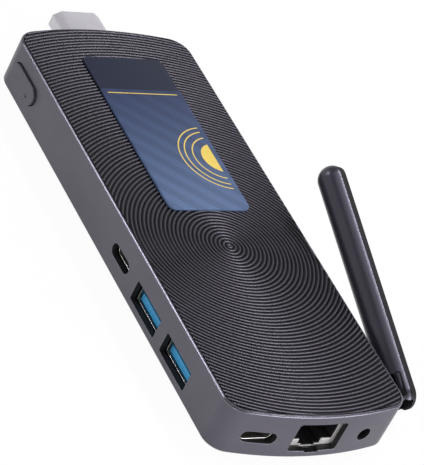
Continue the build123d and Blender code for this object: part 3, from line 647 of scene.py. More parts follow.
@dataclass(frozen=True)
class PrintedLabel:
    """Satin label with a plain generic design: a dark head, a blue fade, stripes and gold arcs."""

    name: str = "Printed label"
    rough: Pair = (0.55, 0.65)
    gloss: float = 0.3
    grain_size: float = 0.1
    grain_depth: float = 0.002
    softness: float = 0.05
    head_share: float = 0.22
    stripe_pitch: float = 3.4
    stripe_span: Pair = (1.5, 1.9)
    stripe_share: float = 0.22
    rule_width: float = 0.3
    rule_drop: float = 1.4
    disc_radius: float = 5.2
    disc_drop_share: float = 1 / 6
    arc_radii: tuple[float, ...] = (7.5, 9.6, 11.2)
    arc_width: float = 0.32
    side_margin: float = 1.6
    side_fade: float = 0.1

    def inside(self, canvas: Canvas, value: NodeSocket, edge: float) -> NodeSocket:
        """A mask that is 1 below an edge value and softly falls to 0 beyond it."""
        return canvas.spread(value, edge - self.softness, edge + self.softness, 1.0, 0.0)

    def band(self, canvas: Canvas, value: NodeSocket, middle: float, width: float) -> NodeSocket:
        """A mask that is 1 within a narrow band of values round its middle."""
        off = canvas.math("ABSOLUTE", canvas.math("SUBTRACT", value, middle))
        return self.inside(canvas, off, width / 2)

    def field(self, canvas: Canvas, across: NodeSocket, along: NodeSocket, head_line: float) -> NodeSocket:
        """The label's ground: a blue fade with faint stripes under a dark head.

        Args:
            canvas: The tree to add to.
            across: Distance from the label's middle to the right.
            along: Distance from the label's middle to the rear.
            head_line: Where along the label the head starts.

        Returns:
            The ground's colour.
        """
        fade = canvas.spread(along, -LABEL_LENGTH / 2, head_line)
        body = canvas.blend(fade, Shade.LABEL_SKY, Shade.LABEL_BLUE)
        stripes = canvas.math("PINGPONG", canvas.math("ADD", across, along), self.stripe_pitch)
        faint = canvas.spread(stripes, *self.stripe_span, 0.0, self.stripe_share)
        striped = canvas.blend(faint, body, Shade.LABEL_NAVY)
        head = canvas.spread(along, head_line - self.softness, head_line + self.softness)
        return canvas.blend(head, striped, Shade.LABEL_NAVY)

    def gold(self, canvas: Canvas, across: NodeSocket, along: NodeSocket, head_line: float) -> NodeSocket:
        """Where gold is printed: the rule under the head and the half disc with its arcs.

        Args:
            canvas: The tree to add to.
            across: Distance from the label's middle to the right.
            along: Distance from the label's middle to the rear.
            head_line: Where along the label the head starts.

        Returns:
            The gold's mask.
        """
        from_side = canvas.math("SUBTRACT", across, LABEL_WIDTH / 2)
        from_disc = canvas.math("ADD", along, LABEL_LENGTH * self.disc_drop_share)
        squares = canvas.math("ADD", canvas.math("MULTIPLY", from_side, from_side),
                              canvas.math("MULTIPLY", from_disc, from_disc))
        reach = canvas.math("SQRT", squares)
        gold = canvas.math("MAXIMUM", self.band(canvas, along, head_line - self.rule_drop, self.rule_width),
                           self.inside(canvas, reach, self.disc_radius))
        for radius in self.arc_radii:
            gold = canvas.math("MAXIMUM", gold, self.band(canvas, reach, radius, self.arc_width))
        margin = LABEL_WIDTH / 2 - self.side_margin
        printed = canvas.spread(canvas.math("ABSOLUTE", across), margin, margin + self.side_fade, 1.0, 0.0)
        return canvas.math("MULTIPLY", gold, printed)

    def material(self) -> Material:
        """Build the finish's material.

        Returns:
            The material.
        """
        canvas = MaterialCanvas(self.name)
        parts = canvas.node("ShaderNodeSeparateXYZ", {0: canvas.place()}).outputs
        across = canvas.math("SUBTRACT", parts["X"], LABEL_CENTRE[0])
        along = canvas.math("SUBTRACT", parts["Y"], LABEL_CENTRE[1])
        head_line = LABEL_LENGTH * (0.5 - self.head_share)
        field = self.field(canvas, across, along, head_line)
        design = canvas.blend(self.gold(canvas, across, along, head_line), field, Shade.LABEL_GOLD)
        rough = canvas.grain(self.grain_size, self.grain_depth, self.rough)
        canvas.surface(base_color=design, metallic=0.0, roughness=rough, specular_ior_level=self.gloss)
        return canvas.material


@dataclass(frozen=True)
class StudioFloor:
    """Matte white floor that looks white and keeps the object's shadow."""

    name: str = "Studio floor"
    rough: Pair = (0.85, 0.95)
    cloud_size: float = 60.0
    glow: float = 0.95

    def material(self) -> Material:
        """Build the finish's material.

        Returns:
            The material.
        """
        canvas = MaterialCanvas(self.name)
        rough = canvas.ramp(canvas.noise(canvas.place(), self.cloud_size), *self.rough)
        canvas.surface(base_color=Shade.FLOOR, roughness=rough)
        path = canvas.node("ShaderNodeLightPath").outputs
        seen = canvas.math("MAXIMUM", path["Is Camera Ray"], path["Is Glossy Ray"])
        seen = canvas.math("MAXIMUM", seen, path["Is Transmission Ray"])
        share = canvas.math("MULTIPLY", seen, self.glow)
        white = canvas.node("ShaderNodeEmission", {"Color": WHITE, "Strength": 1.0})
        inputs = {0: share, 1: canvas.shader.outputs[0], 2: white.outputs[0]}
        mixer = canvas.node("ShaderNodeMixShader", inputs)
        canvas.feed(canvas.tree.nodes["Material Output"].inputs["Surface"], mixer.outputs[0])
        return canvas.material


class Finish(Enum):
    """Every finish of the object and its floor."""

    CASE = BlastedMetal()
    COVER = RippledMetal()
    LABEL = PrintedLabel()
    # Painted shade: the cut walls inside the case's openings are coloured near black
    OPENING = MouldedPlastic("Opening painted shade", Shade.RECESS_SHADE_BLACK, Shade.OPENING_SCUFF, (0.54, 0.68))
    ANTENNA = MouldedPlastic("Antenna black", Shade.ANTENNA_BLACK, Shade.ANTENNA_SCUFF, (0.28, 0.42),
                             grain_size=0.14, grain_depth=0.002, gloss=0.9, sheen=Shade.VIOLET_SHEEN)
    # Partly painted shade: a darker colour for the back shell's narrow upper face
    ANTENNA_BACK_AND_SHADE = MouldedPlastic("Antenna back and painted shade", Shade.ANTENNA_BACK_AND_SHADE, Shade.OPENING_SCUFF, (0.44, 0.58),
                                  gloss=0.25)
    # Partly painted shade: the dark inlay over the hinge stands for the dark swivel in its slot and for the
    # slot's shade
    INLAY_AND_SHADE = MouldedPlastic("Hinge inlay and painted shade", Shade.RECESS_SHADE_BLACK, Shade.OPENING_SCUFF, (0.64, 0.78), gloss=0.12)
    BLACK_PLASTIC = MouldedPlastic("Black plastic", Shade.PLASTIC_BLACK, Shade.PLASTIC_SCUFF)
    BLUE_PLASTIC = MouldedPlastic("Blue plastic", Shade.SOCKET_BLUE, Shade.SOCKET_BLUE_DEEP, (0.32, 0.46),
                                  coat=0.2)
    CHIP = MouldedPlastic("Chip black", Shade.CHIP_BLACK, Shade.CHIP_SCUFF, (0.49, 0.63))
    PAD = MouldedPlastic("Thermal pad", Shade.PAD_GREY, Shade.PAD_GREY_DEEP, (0.74, 0.88),
                         grain_size=0.3, grain_depth=0.02)
    CABLE = MouldedPlastic("Cable black", Shade.PLASTIC_BLACK, Shade.PLASTIC_SCUFF, (0.44, 0.58),
                           grain_size=0.08)
    PLUG = BareMetal("Plug steel", Shade.PLUG_STEEL, Shade.PLUG_STEEL_DEEP, (0.36, 0.52), metallic=0.5,
                     line_depth=0.0006, smear_share=0.25)
    STEEL = BareMetal("Screw steel", Shade.STEEL, Shade.STEEL_DEEP, (0.26, 0.42))
    SOCKET = BareMetal("Socket steel", Shade.SOCKET_STEEL, Shade.SOCKET_STEEL_DEEP)
    SHIELD = BareMetal("Tinned shield", Shade.SOCKET_STEEL, Shade.SOCKET_STEEL_DEEP, metallic=0.5)
    DARK_STEEL = BareMetal("Blackened steel", Shade.DARK_STEEL, Shade.DARK_STEEL_DEEP, (0.39, 0.55))
    GOLD = BareMetal("Contact gold", Shade.GOLD, Shade.GOLD_DEEP, (0.16, 0.32))
    ALUMINIUM = BareMetal("Heat spreader", Shade.ALUMINIUM, Shade.ALUMINIUM_DEEP, (0.34, 0.5),
                          stretch=(1.0, 0.04, 1.0))
    BOARD = CircuitBoard()
    CLEAR = ClearPlastic()
    FLOOR = StudioFloor()

    @cache
    def material(self) -> Material:
        """The finish's material, which is made once."""
        return self.value.material()


# Meshes


class Axis(Enum):
    """The axis that a prism runs along."""

    X = 0
    Y = 1
    Z = 2

    def point(self, first: float, second: float, along: float) -> Point:
        """A place in space from its two values across the axis and the one along it."""
        return ((along, first, second), (first, along, second), (first, second, along))[self.value]


def arc(centre: Pair, radius: float, start: float, end: float, steps: int) -> Outline:
    """Points along an arc from one angle to another, both ends included."""
    angles = [start + (end - start) * step / steps for step in range(steps + 1)]
    return [(centre[0] + radius * math.cos(angle), centre[1] + radius * math.sin(angle)) for angle in angles]


def disc(radius: float, steps: int = 32, centre: Pair = (0.0, 0.0)) -> Outline:
    """Outline of a circle, as that many points."""
    return arc(centre, radius, 0.0, 2 * math.pi, steps)[:-1]


def rounded_box(width: float, height: float, radius: float, steps: int = 5) -> Outline:
    """Outline of a rectangle with round corners, centred on zero.

    Args:
        width: Full width.
        height: Full height.
        radius: Corner radius.
        steps: Segments in each corner.

    Returns:
        The outline's points.
    """
    points = []
    for turn, (side, end) in enumerate(((1, 1), (-1, 1), (-1, -1), (1, -1))):
        centre = (side * (width / 2 - radius), end * (height / 2 - radius))
        points += arc(centre, radius, turn * math.pi / 2, (turn + 1) * math.pi / 2, steps)
    return points


class Form:
    """Points in millimetres and faces, collected before they become a mesh."""

    def __init__(self) -> None:
        """Start empty."""
        self.points: list[Point] = []
        self.faces: list[list[int]] = []

    def loop(self, points: Iterable[Point]) -> list[int]:
        """Add points and give back their numbers.

        Args:
            points: The points of a closed loop, in order.

        Returns:
            The numbers of the new points.
        """
        start = len(self.points)
        self.points.extend(points)
        return list(range(start, len(self.points)))

    def bridge(self, first: Sequence[int], second: Sequence[int]) -> None:
        """Join two loops of equal count by a band of quads.

        Args:
            first: The first loop.
            second: The loop that follows it.
        """
        count = len(first)
        for index in range(count):
            after = (index + 1) % count
            self.faces.append([first[index], first[after], second[after], second[index]])

    def stack(self, loops: Sequence[Iterable[Point]]) -> None:
        """Skin a row of loops and close both ends.

        Args:
            loops: The loops, each with as many points.
        """
        rows = [self.loop(points) for points in loops]
        for first, second in zip(rows, rows[1:]):
            self.bridge(first, second)
        self.faces.append(list(reversed(rows[0])))
        self.faces.append(rows[-1])

    def prism(self, outline: Outline, place: Pair, ends: Pair, axis: Axis) -> None:
        """Add an outline, moved to its place across an axis and drawn out between two ends along it."""
        self.stack([[axis.point(place[0] + u, place[1] + v, end) for u, v in outline] for end in ends])

    def piece(self, name: str) -> Object:
        """Make the mesh object, with its faces turned outward.

        Args:
            name: The piece's name.

        Returns:
            The new object, in metres.
        """
        mesh = bpy.data.meshes.new(name)
        mesh.from_pydata([tuple(value * MM for value in point) for point in self.points], [], self.faces)
        shape = bmesh.new()
        shape.from_mesh(mesh)
        bmesh.ops.recalc_face_normals(shape, faces=shape.faces)
        shape.to_mesh(mesh)
        shape.free()
        piece = bpy.data.objects.new(name, mesh)
        bpy.context.scene.collection.objects.link(piece)
        return piece


def settle(piece: Object) -> None:
    """Apply a piece's modifiers to its mesh.

    Args:
        piece: The piece.
    """
    graph = bpy.context.evaluated_depsgraph_get()
    mesh = bpy.data.meshes.new_from_object(piece.evaluated_get(graph))
    before = piece.data
    piece.modifiers.clear()
    piece.data = mesh
    bpy.data.meshes.remove(before)


def round_off(piece: Object, width: float, segments: int, angle: float) -> None:
    """Round a built piece's sharp edges in its mesh and mark the new faces for wear.

    Args:
        piece: The piece.
        width: Width of the rounding in millimetres.
        segments: Faces across it.
        angle: Least angle of a sharp edge, in degrees.
    """
    shape = bmesh.new()
    shape.from_mesh(piece.data)
    mark = shape.faces.layers.float.new(WEAR_MARK)
    sharp = [edge for edge in shape.edges
             if edge.is_manifold and edge.calc_face_angle() > math.radians(angle)]
    made = bmesh.ops.bevel(shape, geom=sharp, offset=width * MM, offset_type="OFFSET", segments=segments,
                           profile=0.5, affect="EDGES", clamp_overlap=False, loop_slide=True,
                           material=-1)["faces"]
    for face in made:
        face[mark] = 1.0
    shape.to_mesh(piece.data)
    shape.free()


def smooth(piece: Object, angle: float) -> None:
    """Shade a piece smooth, with creases where its faces turn by more than an angle in degrees."""
    piece.data.shade_smooth()
    piece.data.set_sharp_from_angle(angle=math.radians(angle))


def carve(piece: Object, cutter: Object) -> None:
    """Cut one piece's volume out of another and delete the cutter.

    Args:
        piece: The piece that is cut.
        cutter: The closed mesh that is taken out of it.
    """
    cut = piece.modifiers.new("Cut", "BOOLEAN")
    cut.operation = "DIFFERENCE"
    cut.solver = "EXACT"
    cut.material_mode = "TRANSFER"
    cut.object = cutter
    settle(piece)
    mesh = cutter.data
    bpy.data.objects.remove(cutter)
    bpy.data.meshes.remove(mesh)


def paint(piece: Object, finish: Finish) -> None:
    """Give a piece one finish."""
    piece.data.materials.clear()
    piece.data.materials.append(finish.material())


# Sub-assemblies


@dataclass
class CasePlan:
    """Plan of the case: straight sides, bulged ends and round corners."""

    length: float = 135.7
    width: float = 50.0
    front_bulge: float = 3.4
    rear_bulge: float = 3.1
    front_corner: float = 5.5
    rear_corner: float = 6.0
    corner_steps: int = 12
    end_steps: int = 26

    def end(self, inset: float, bulge: float, corner: float, way: int) -> Outline:
        """One end of the plan, from its right side round to its left side.

        Args:
            inset: How far the line is drawn in.
            bulge: The end's bulge.
            corner: The outer corner radius.
            way: 1 for the rear end, -1 for the front end.

        Returns:
            The points, from right to left.
        """
        half = self.width / 2
        bow = (half**2 + bulge**2) / (2 * bulge)
        bow_y = way * (self.length / 2 - bow)
        corner_x = half - corner
        lift = math.sqrt((bow - corner) ** 2 - corner_x**2)
        corner_y = bow_y + way * lift
        meet = math.atan2(lift, corner_x)
        near = way * meet
        far = way * (math.pi - meet)
        right = arc((corner_x, corner_y), corner - inset, 0.0, near, self.corner_steps)
        middle = arc((0.0, bow_y), bow - inset, near, far, self.end_steps)
        left = arc((-corner_x, corner_y), corner - inset, far, way * math.pi, self.corner_steps)
        return right + middle[1:-1] + left

    def outline(self, inset: float) -> Outline:
        """The whole plan, counterclockwise.

        Args:
            inset: How far the line is drawn in.

        Returns:
            The plan's points.
        """
        rear = self.end(inset, self.rear_bulge, self.rear_corner, 1)
        front = self.end(inset, self.front_bulge, self.front_corner, -1)
        return rear + list(reversed(front))

    def level(self, inset: float, height: float) -> list[Point]:
        """The plan, drawn in by an inset, at one height."""
        return [(x, y, height) for x, y in self.outline(inset)]


@dataclass
class CaseTub:
    """Bottom shell of the case: floor, walls and every opening in them."""

    plan: CasePlan
    height: float = 13.25
    wall: float = 1.6
    floor: float = 1.4
    rim_chamfer: float = 0.4
    rim_width: float = 0.6
    rim_depth: float = 0.6
    rim_slope: Pair = (0.25, 0.96)
    foot_chamfer: float = 0.4
    ledge: float = 11.75
    edge_rounding: float = 0.14
    edge_steps: int = 2
    sharp_angle: float = 30.0
    crease_angle: float = 50.0
    usb_a_places: tuple[float, ...] = (-41.5, -24.45)
    usb_a_height: float = 4.85
    usb_a_size: Pair = (13.2, 5.5)
    usb_a_corner: float = 0.35
    usb_c_place: float = -8.6
    usb_c_height: float = 5.85
    usb_c_size: Pair = (9.0, 3.3)
    usb_c_front_x: float = -14.9
    button_place: Pair = (53.0, 6.45)
    button_size: Pair = (13.65, 5.55)
    network_x: float = 0.8
    network_width: float = 13.4
    network_span: Pair = (2.2, 10.6)
    network_notch: Pair = (3.8, 0.5)
    network_corner: float = 0.8
    network_steps: int = 6
    audio_place: Pair = (14.6, 5.75)
    audio_radius: float = 1.8
    plug_width: float = 13.9
    plug_height: float = 4.45
    plug_centre: float = 8.0
    plug_bevel: Pair = (2.2, 1.4)
    plug_gap: float = 0.15
    swivel_place: Pair = (-55.6, 6.625)
    swivel_radius: float = 2.55
    screw_places: tuple[Pair, ...] = ((-19.6, 61.2), (19.6, 61.2), (-20.3, -53.0), (20.2, -40.0))
    screw_recess: Pair = (2.0, 1.2)
    slot_steps: int = 12
    bore_steps: int = 40

    def body(self) -> Object:
        """The closed shell before its openings are cut.

        Returns:
            The shell.
        """
        levels = (
            (self.foot_chamfer, 0.0),
            (0.0, self.foot_chamfer),
            (0.0, self.height - self.rim_chamfer),
            (self.rim_chamfer, self.height),
            (self.rim_width, self.height),
            (self.rim_width, self.ledge),
            (self.wall, self.ledge),
            (self.wall, self.floor),
        )
        form = Form()
        form.stack([self.plan.level(inset, height) for inset, height in levels])
        return form.piece("case_tub_shell")

    def cutter(self) -> Object:
        """All the openings as one mesh of separate prisms.

        Returns:
            The mesh to cut with.
        """
        side = self.plan.width / 2
        end = self.plan.length / 2
        left = (-side - OVERRUN, -side + self.wall + OVERRUN)
        right = (side - self.wall - OVERRUN, side + OVERRUN)
        front = (-end - OVERRUN, -end + 3 * OVERRUN + self.wall)
        rear = (end - self.wall - 2 * OVERRUN, end + OVERRUN)
        usb_a = rounded_box(*self.usb_a_size, self.usb_a_corner)
        usb_c, button = [rounded_box(*size, size[1] / 2 - HAIR, self.slot_steps)
                         for size in (self.usb_c_size, self.button_size)]
        recess, depth = self.screw_recess
        openings = [
            *[(usb_a, (place, self.usb_a_height), left, Axis.X) for place in self.usb_a_places],
            (usb_c, (self.usb_c_place, self.usb_c_height), left, Axis.X),
            (button, self.button_place, left, Axis.X),
            (usb_c, (self.usb_c_front_x, self.usb_c_height), front, Axis.Y),
            (self.network_outline(), (self.network_x, 0.0), front, Axis.Y),
            (disc(self.audio_radius, self.bore_steps), self.audio_place, front, Axis.Y),
            (self.plug_outline(), (0.0, self.plug_centre), rear, Axis.Y),
            (disc(self.swivel_radius, self.bore_steps), self.swivel_place, right, Axis.X),
            *[(disc(recess), place, (-OVERRUN, depth), Axis.Z) for place in self.screw_places],
        ]
        form = Form()
        for opening in openings:
            form.prism(*opening)
        return form.piece("case_openings")

    def network_outline(self) -> Outline:
        """Outline of the network opening with the notch for the latch.

        Returns:
            The outline's points.
        """
        low, high = self.network_span
        outline = [(x, (low + high) / 2 + z) for x, z in rounded_box(
            self.network_width, high - low, self.network_corner, self.network_steps)]
        half = self.network_notch[0] / 2
        notch_low = low - self.network_notch[1]
        notch = [(-half, low), (-half, notch_low), (half, notch_low), (half, low)]
        last_left = 3 * (self.network_steps + 1)
        return outline[:last_left] + notch + outline[last_left:]

    def plug_outline(self) -> Outline:
        """Outline of the video plug, grown by its gap, round its centre.

        Returns:
            The outline's points.
        """
        half = self.plug_width / 2 + self.plug_gap
        high = self.plug_height / 2 + self.plug_gap
        across, down = self.plug_bevel
        return [(-half, -high), (half, -high), (half, high - down), (half - across, high),
                (across - half, high), (-half, high - down)]

    def mark_rim(self, tub: Object) -> None:
        """Mark the cut chamfer round the rim, whose paler grey is partly painted highlight.

        Args:
            tub: The rounded shell.
        """
        marks = tub.data.attributes.new(RIM_MARK, "FLOAT", "FACE")
        low = (self.height - self.rim_depth) * MM
        for face in tub.data.polygons:
            tilted = self.rim_slope[0] < face.normal.z < self.rim_slope[1]
            if tilted and face.center.z > low:
                marks.data[face.index].value = 1.0

    def build(self) -> list[Object]:
        """Cut, round and dress the shell.

        Returns:
            The finished pieces.
        """
        tub = self.body()
        openings = self.cutter()
        paint(tub, Finish.CASE)
        # The cutter's near-black finish passes to the cut walls: painted shade inside the openings.
        paint(openings, Finish.OPENING)
        carve(tub, openings)
        round_off(tub, self.edge_rounding, self.edge_steps, self.sharp_angle)
        self.mark_rim(tub)
        smooth(tub, self.crease_angle)
        even = tub.modifiers.new("Even shading", "WEIGHTED_NORMAL")
        even.keep_sharp = True
        settle(tub)
        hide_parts("case_tub")
        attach(tub, "case")
        return [tub]


@dataclass
class RippleCover:
    """Top cover with rounded concentric ridges, cut off by the rim."""

    plan: CasePlan
    inset: float = 0.72
    ridge_height: float = 0.3
    ridge_top: float = 13.45
    skirt_low: float = 11.8
    spokes: int = 384
    phase_shares: tuple[float, ...] = (0.0, 0.15, 0.38, 0.62, 0.85)
    margin: float = 2.2
    crease_angle: float = 56.0

    def radii(self) -> list[Pair]:
        """Distances from the rings' centre and the heights there.

        Returns:
            Each distance and its height, outward.
        """
        reach = math.hypot(self.plan.width / 2, self.plan.length / 2 + abs(RING_CENTRE[1]))
        valley = self.ridge_top - self.ridge_height
        return [((ring + share) * RING_PITCH, valley + self.ridge_height * math.sin(math.pi * share))
                for ring in range(math.ceil(reach / RING_PITCH)) for share in self.phase_shares]

    def ripples(self) -> Object:
        """The ridged surface, a little larger than the cover.

        Returns:
            The surface.
        """
        form = Form()
        rows = [form.loop([(x, y, height) for x, y in disc(radius, self.spokes, RING_CENTRE)])
                for radius, height in self.radii()[1:]]
        reach_x = self.plan.width / 2 + self.margin
        reach_y = self.plan.length / 2 + self.margin
        near = [abs(x) < reach_x and abs(y) < reach_y for x, y, _ in form.points]
        for first, second in zip(rows, rows[1:]):
            form.bridge(first, second)
        form.faces = [face for face in form.faces if all(near[index] for index in face)]
        form.faces.append(rows[0])
        return form.piece("ripple_cover")

    def trim(self, piece: Object) -> None:
        """Cut the ridges off along the plan and fold a skirt down from the cut.

        Args:
            piece: The ridged surface.
        """
        shape = bmesh.new()
        shape.from_mesh(piece.data)
        loose = [vertex for vertex in shape.verts if not vertex.link_faces]
        bmesh.ops.delete(shape, geom=loose, context="VERTS")
        outline = self.plan.outline(self.inset)
        for (x, y), (next_x, next_y) in zip(outline, outline[1:] + outline[:1]):
            away = Vector((next_y - y, x - next_x, 0.0))
            if away.length < HAIR:
                continue
            geometry = list(shape.verts) + list(shape.edges) + list(shape.faces)
            bmesh.ops.bisect_plane(shape, geom=geometry, plane_co=(x * MM, y * MM, 0.0),
                                   plane_no=away.normalized(), clear_outer=True)
        border = [edge for edge in shape.edges if edge.is_boundary]
        folded = bmesh.ops.extrude_edge_only(shape, edges=border)["geom"]
        for vertex in folded:
            if isinstance(vertex, bmesh.types.BMVert):
                vertex.co.z = self.skirt_low * MM
        shape.to_mesh(piece.data)
        shape.free()

    def build(self) -> list[Object]:
        """Make, trim and dress the cover.

        Returns:
            The finished pieces.
        """
        cover = self.ripples()
        self.trim(cover)
        smooth(cover, self.crease_angle)
        paint(cover, Finish.COVER)
        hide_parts("top_cover")
        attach(cover, "case")
        return [cover]


@dataclass
class LabelPlate:
    """Thin printed plate on the ridges."""

    low: float = 13.45
    thickness: float = 0.5
    corner: float = 2.0
    corner_steps: int = 8
    edge: float = 0.12
    edge_turn_share: float = 0.3
    crease_angle: float = 50.0

    def level(self, inset: float, height: float) -> list[Point]:
        """The plate's outline at one height.

        Args:
            inset: How far it is drawn in.
            height: The height.

        Returns:
            The outline's points.
        """
        width = LABEL_WIDTH - 2 * inset
        length = LABEL_LENGTH - 2 * inset
        outline = rounded_box(width, length, self.corner - inset, self.corner_steps)
        return [(LABEL_CENTRE[0] + x, LABEL_CENTRE[1] + y, height) for x, y in outline]

    def build(self) -> list[Object]:
        """Make and dress the plate.

        Returns:
            The finished pieces.
        """
        high = self.low + self.thickness
        turn = self.edge_turn_share * self.edge
        levels = ((0.0, self.low), (0.0, high - self.edge), (turn, high - turn), (self.edge, high))
        form = Form()
        form.stack([self.level(inset, height) for inset, height in levels])
        plate = form.piece("label_face")
        smooth(plate, self.crease_angle)
        paint(plate, Finish.LABEL)
        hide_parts("label_plate")
        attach(plate, "case")
        return [plate]


@dataclass
class HingeInlayAndShade:
    """Matt dark inlay on the crown of the antenna over its hinge, in place of the slot there: partly the
    dark swivel in the slot, partly painted shade of the slot.
    """

    root: Point = (31.4, -55.6, 6.625)
    lift: float = 18.2
    crown: float = 3.72
    across: Pair = (1.2, 2.6)
    along: Pair = (-1.6, 4.7)
    proud: float = 0.05
    sunk: float = 0.1
    steps: int = 10
    crease_angle: float = 40.0

    def on_crown(self, inward: float, along: float, rise: float) -> Point:
        """A place on the antenna's crown.

        Args:
            inward: Distance from the parting line towards the case.
            along: Distance along the antenna from its hinge.
            rise: Height over the crown.

        Returns:
            The place in space.
        """
        height = math.sqrt(self.crown**2 - inward**2) + rise
        lean = math.radians(self.lift)
        x, y, z = self.root
        return (x - inward, y + along * math.cos(lean) - height * math.sin(lean),
                z + along * math.sin(lean) + height * math.cos(lean))

    def build(self) -> list[Object]:
        """Make and dress the inlay.

        Returns:
            The finished pieces.
        """
        width = self.across[1] - self.across[0]
        length = self.along[1] - self.along[0]
        middle_x = sum(self.across) / 2
        middle_y = sum(self.along) / 2
        outline = rounded_box(width, length, width / 2 - HAIR, self.steps)
        form = Form()
        form.stack([[self.on_crown(middle_x + x, middle_y + y, rise) for x, y in outline]
                    for rise in (-self.sunk, self.proud)])
        inlay = form.piece("hinge_inlay_and_shade")
        smooth(inlay, self.crease_angle)
        paint(inlay, Finish.INLAY_AND_SHADE)
        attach(inlay, "antenna")
        return [inlay]


@dataclass
class CarriedNodes:
    """The pieces whose CAD shape stays, with the finish and the edge rounding of each row of them."""

    rows: tuple[tuple[Finish, float, tuple[str, ...]], ...] = (
        (Finish.CASE, 0.0, ("power_button",)),
        (Finish.STEEL, 0.0, ("case_screws", "board_screws", "spreader_screws", "clock_cell", "swivel_clip")),
        (Finish.DARK_STEEL, 0.0, ("tilt_pin",)),
        (Finish.BOARD, 0.0, ("main_board", "radio_module")),
        (Finish.SOCKET, 0.07, ("usb_a_shell_front", "usb_a_shell_rear")),
        (Finish.SOCKET, 0.1, ("usb_c_shell_side", "usb_c_shell_front")),
        (Finish.SOCKET, 0.0, ("audio_terminals", "radio_shield")),
        (Finish.SHIELD, 0.05, ("rj45_shield",)),
        (Finish.BLUE_PLASTIC, 0.12, ("usb_a_insert_front", "usb_a_insert_rear")),
        (Finish.GOLD, 0.0, ("usb_a_contacts_front", "usb_a_contacts_rear", "usb_c_contacts_side",
                            "usb_c_contacts_front", "rj45_contacts", "hdmi_contacts", "cable_plug",
                            "antenna_element")),
        (Finish.BLACK_PLASTIC, 0.06, ("usb_c_insert_side", "usb_c_insert_front")),
        (Finish.BLACK_PLASTIC, 0.08, ("hdmi_plug_insert",)),
        (Finish.BLACK_PLASTIC, 0.1, ("audio_jack",)),
        (Finish.BLACK_PLASTIC, 0.12, ("rj45_housing",)),
        (Finish.BLACK_PLASTIC, 0.0, ("hdmi_carrier", "power_switch", "switch_plunger", "cell_holder",
                                     "friction_washer")),
        (Finish.PLUG, 0.12, ("hdmi_plug_shell",)),
        (Finish.CLEAR, 0.0, ("button_lens", "status_lamp")),
        (Finish.CHIP, 0.0, ("processor", "memory_chips", "storage_chip", "network_chip",
                            "network_transformer", "power_inductors")),
        (Finish.PAD, 0.0, ("thermal_pad",)),
        (Finish.ALUMINIUM, 0.0, ("heat_spreader",)),
        (Finish.CABLE, 0.0, ("antenna_cable",)),
        (Finish.ANTENNA, 0.08, ("antenna_front_shell",)),
        (Finish.ANTENNA, 0.15, ("antenna_swivel",)),
        (Finish.ANTENNA_BACK_AND_SHADE, 0.12, ("antenna_back_shell",)),
    )
    sharp_angle: float = 35.0
    edge_steps: int = 2

    def build(self) -> list[Object]:
        """Round and dress the carried-over nodes.

        Returns:
            The dressed nodes.
        """
        dressed = []
        for finish, rounding, names in self.rows:
            for node in [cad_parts[name] for name in names]:
                if rounding:
                    self.round_edges(node, rounding)
                paint(node, finish)
                dressed.append(node)
        return dressed

    def round_edges(self, node: Object, width: float) -> None:
        """Join a node's faces and round its edges by modifiers alone.

        Args:
            node: The CAD node.
            width: Width of the rounding in millimetres.
        """
        weld = node.modifiers.new("Joined faces", "WELD")
        weld.merge_threshold = HAIR * MM
        bevel = node.modifiers.new("Soft edges", "BEVEL")
        bevel.width = width * MM
        bevel.segments = self.edge_steps
        bevel.limit_method = "ANGLE"
        bevel.angle_limit = math.radians(self.sharp_angle)
        bevel.use_clamp_overlap = False
        node.modifiers.new("Even shading", "WEIGHTED_NORMAL")


# Studio

VIOLET = (0.95, 0.92, 1.0)


@dataclass(frozen=True)
class Lamp:
    """One soft lamp that looks at the object."""

    name: str
    place: Point
    size: Pair
    power: float
    along: Point = (1.0, 0.0, 0.0)
    tint: Point = WHITE[:3]

    def build(self, target: Point) -> Object:
        """Hang the lamp.

        Args:
            target: The place that it faces, in millimetres.

        Returns:
            The lamp's object.
        """
        light = bpy.data.lights.new(self.name, "AREA")
        light.shape = "RECTANGLE"
        light.size = self.size[0] * MM
        light.size_y = self.size[1] * MM
        light.energy = self.power
        light.color = self.tint
        lamp = bpy.data.objects.new(self.name, light)
        lamp.location = Vector(self.place) * MM
        away = (Vector(self.place) - Vector(target)).normalized()
        along = Vector(self.along)
        wide = (along - away * along.dot(away)).normalized()
        lamp.rotation_euler = Matrix((wide, away.cross(wide), away)).transposed().to_euler()
        bpy.context.scene.collection.objects.link(lamp)
        return lamp


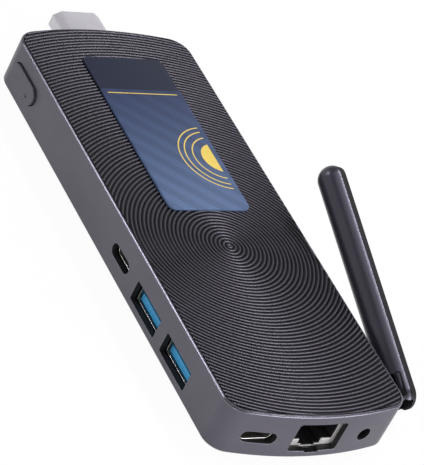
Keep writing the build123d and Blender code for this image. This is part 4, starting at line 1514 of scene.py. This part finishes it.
@dataclass
class Studio:
    """Pale floor, soft light and the camera of the photograph."""

    target: Point = (0.0, 0.0, 6.0)
    floor_reach: float = 3000.0
    world_span: Pair = (0.02, 0.6)
    world_strengths: Pair = (0.8, 0.24)
    camera_place: Point = (-397.05, -431.24, 408.14)
    camera_right: Point = (0.826115, -0.405876, 0.390894)
    camera_down: Point = (0.007773, -0.685413, -0.728113)
    camera_ahead: Point = (0.563447, 0.604544, -0.563076)
    camera_near: float = 10.0
    focal_pixels: float = 2958.92
    image_size: tuple[int, int] = (424, 465)
    sensor: float = 36.0
    lamps: tuple[Lamp, ...] = (
        Lamp("Rim lamp", (-620.0, 590.0, 590.0), (220.0, 220.0), 2.4, tint=VIOLET),
        Lamp("Glint lamp", (430.0, -610.0, 660.0), (90.0, 90.0), 0.8),
        Lamp("Side lamp", (-900.0, -160.0, 260.0), (300.0, 260.0), 0.25),
        Lamp("Corner lamp", (-640.0, -760.0, 90.0), (130.0, 160.0), 1.8),
        Lamp("Front lamp", (520.0, -840.0, 190.0), (700.0, 460.0), 9.4, tint=VIOLET),
        Lamp("Ring lamp", (520.0, 180.0, 830.0), (460.0, 110.0), 4.8, (0.0, 1.0, 0.0), VIOLET),
        Lamp("Top lamp", (60.0, 120.0, 1000.0), (700.0, 300.0), 1.1, tint=VIOLET),
    )

    def floor(self) -> None:
        """Lay the floor that the object stands on."""
        form = Form()
        reach = self.floor_reach
        corners = ((-reach, -reach, 0.0), (reach, -reach, 0.0), (reach, reach, 0.0), (-reach, reach, 0.0))
        form.faces.append(form.loop(corners))
        floor = form.piece("studio_floor")
        paint(floor, Finish.FLOOR)

    def world(self) -> None:
        """Make pale surroundings that darken towards the top."""
        world = bpy.data.worlds.new("Studio")
        world.use_nodes = True
        bpy.context.scene.world = world
        canvas = Canvas(world.node_tree)
        height = canvas.upward(canvas.node("ShaderNodeTexCoord").outputs["Generated"])
        background = world.node_tree.nodes["Background"]
        strength = canvas.spread(height, *self.world_span, *self.world_strengths)
        canvas.feed(background.inputs["Color"], WHITE)
        canvas.feed(background.inputs["Strength"], strength)

    def camera(self) -> None:
        """Set the camera at the photograph's place and angle."""
        data = bpy.data.cameras.new("Camera")
        data.sensor_width = self.sensor
        data.lens = self.focal_pixels * self.sensor / max(self.image_size)
        data.clip_start = self.camera_near * MM
        camera = bpy.data.objects.new("Camera", data)
        right = Vector(self.camera_right)
        up = -Vector(self.camera_down)
        back = -Vector(self.camera_ahead)
        turn = Matrix((right, up, back)).transposed().to_4x4()
        camera.matrix_world = Matrix.Translation(Vector(self.camera_place) * MM) @ turn
        bpy.context.scene.collection.objects.link(camera)
        bpy.context.scene.camera = camera

    def build(self) -> None:
        """Set up the floor, the light and the camera."""
        bpy.context.scene.view_settings.view_transform = "Standard"
        self.floor()
        self.world()
        for lamp in self.lamps:
            lamp.build(self.target)
        self.camera()


def main() -> None:
    """Build the studio and every sub-assembly, and report each piece."""
    logging.basicConfig(level=logging.INFO, format="%(name)s: %(message)s")
    Studio().build()
    plan = CasePlan()
    for assembly in (CaseTub(plan), RippleCover(plan), LabelPlate(), HingeInlayAndShade(), CarriedNodes()):
        for piece in assembly.build():
            log.info("%s: %s, %d faces", type(assembly).__name__, piece.name, len(piece.data.polygons))


if __name__ == "__main__":
    main()
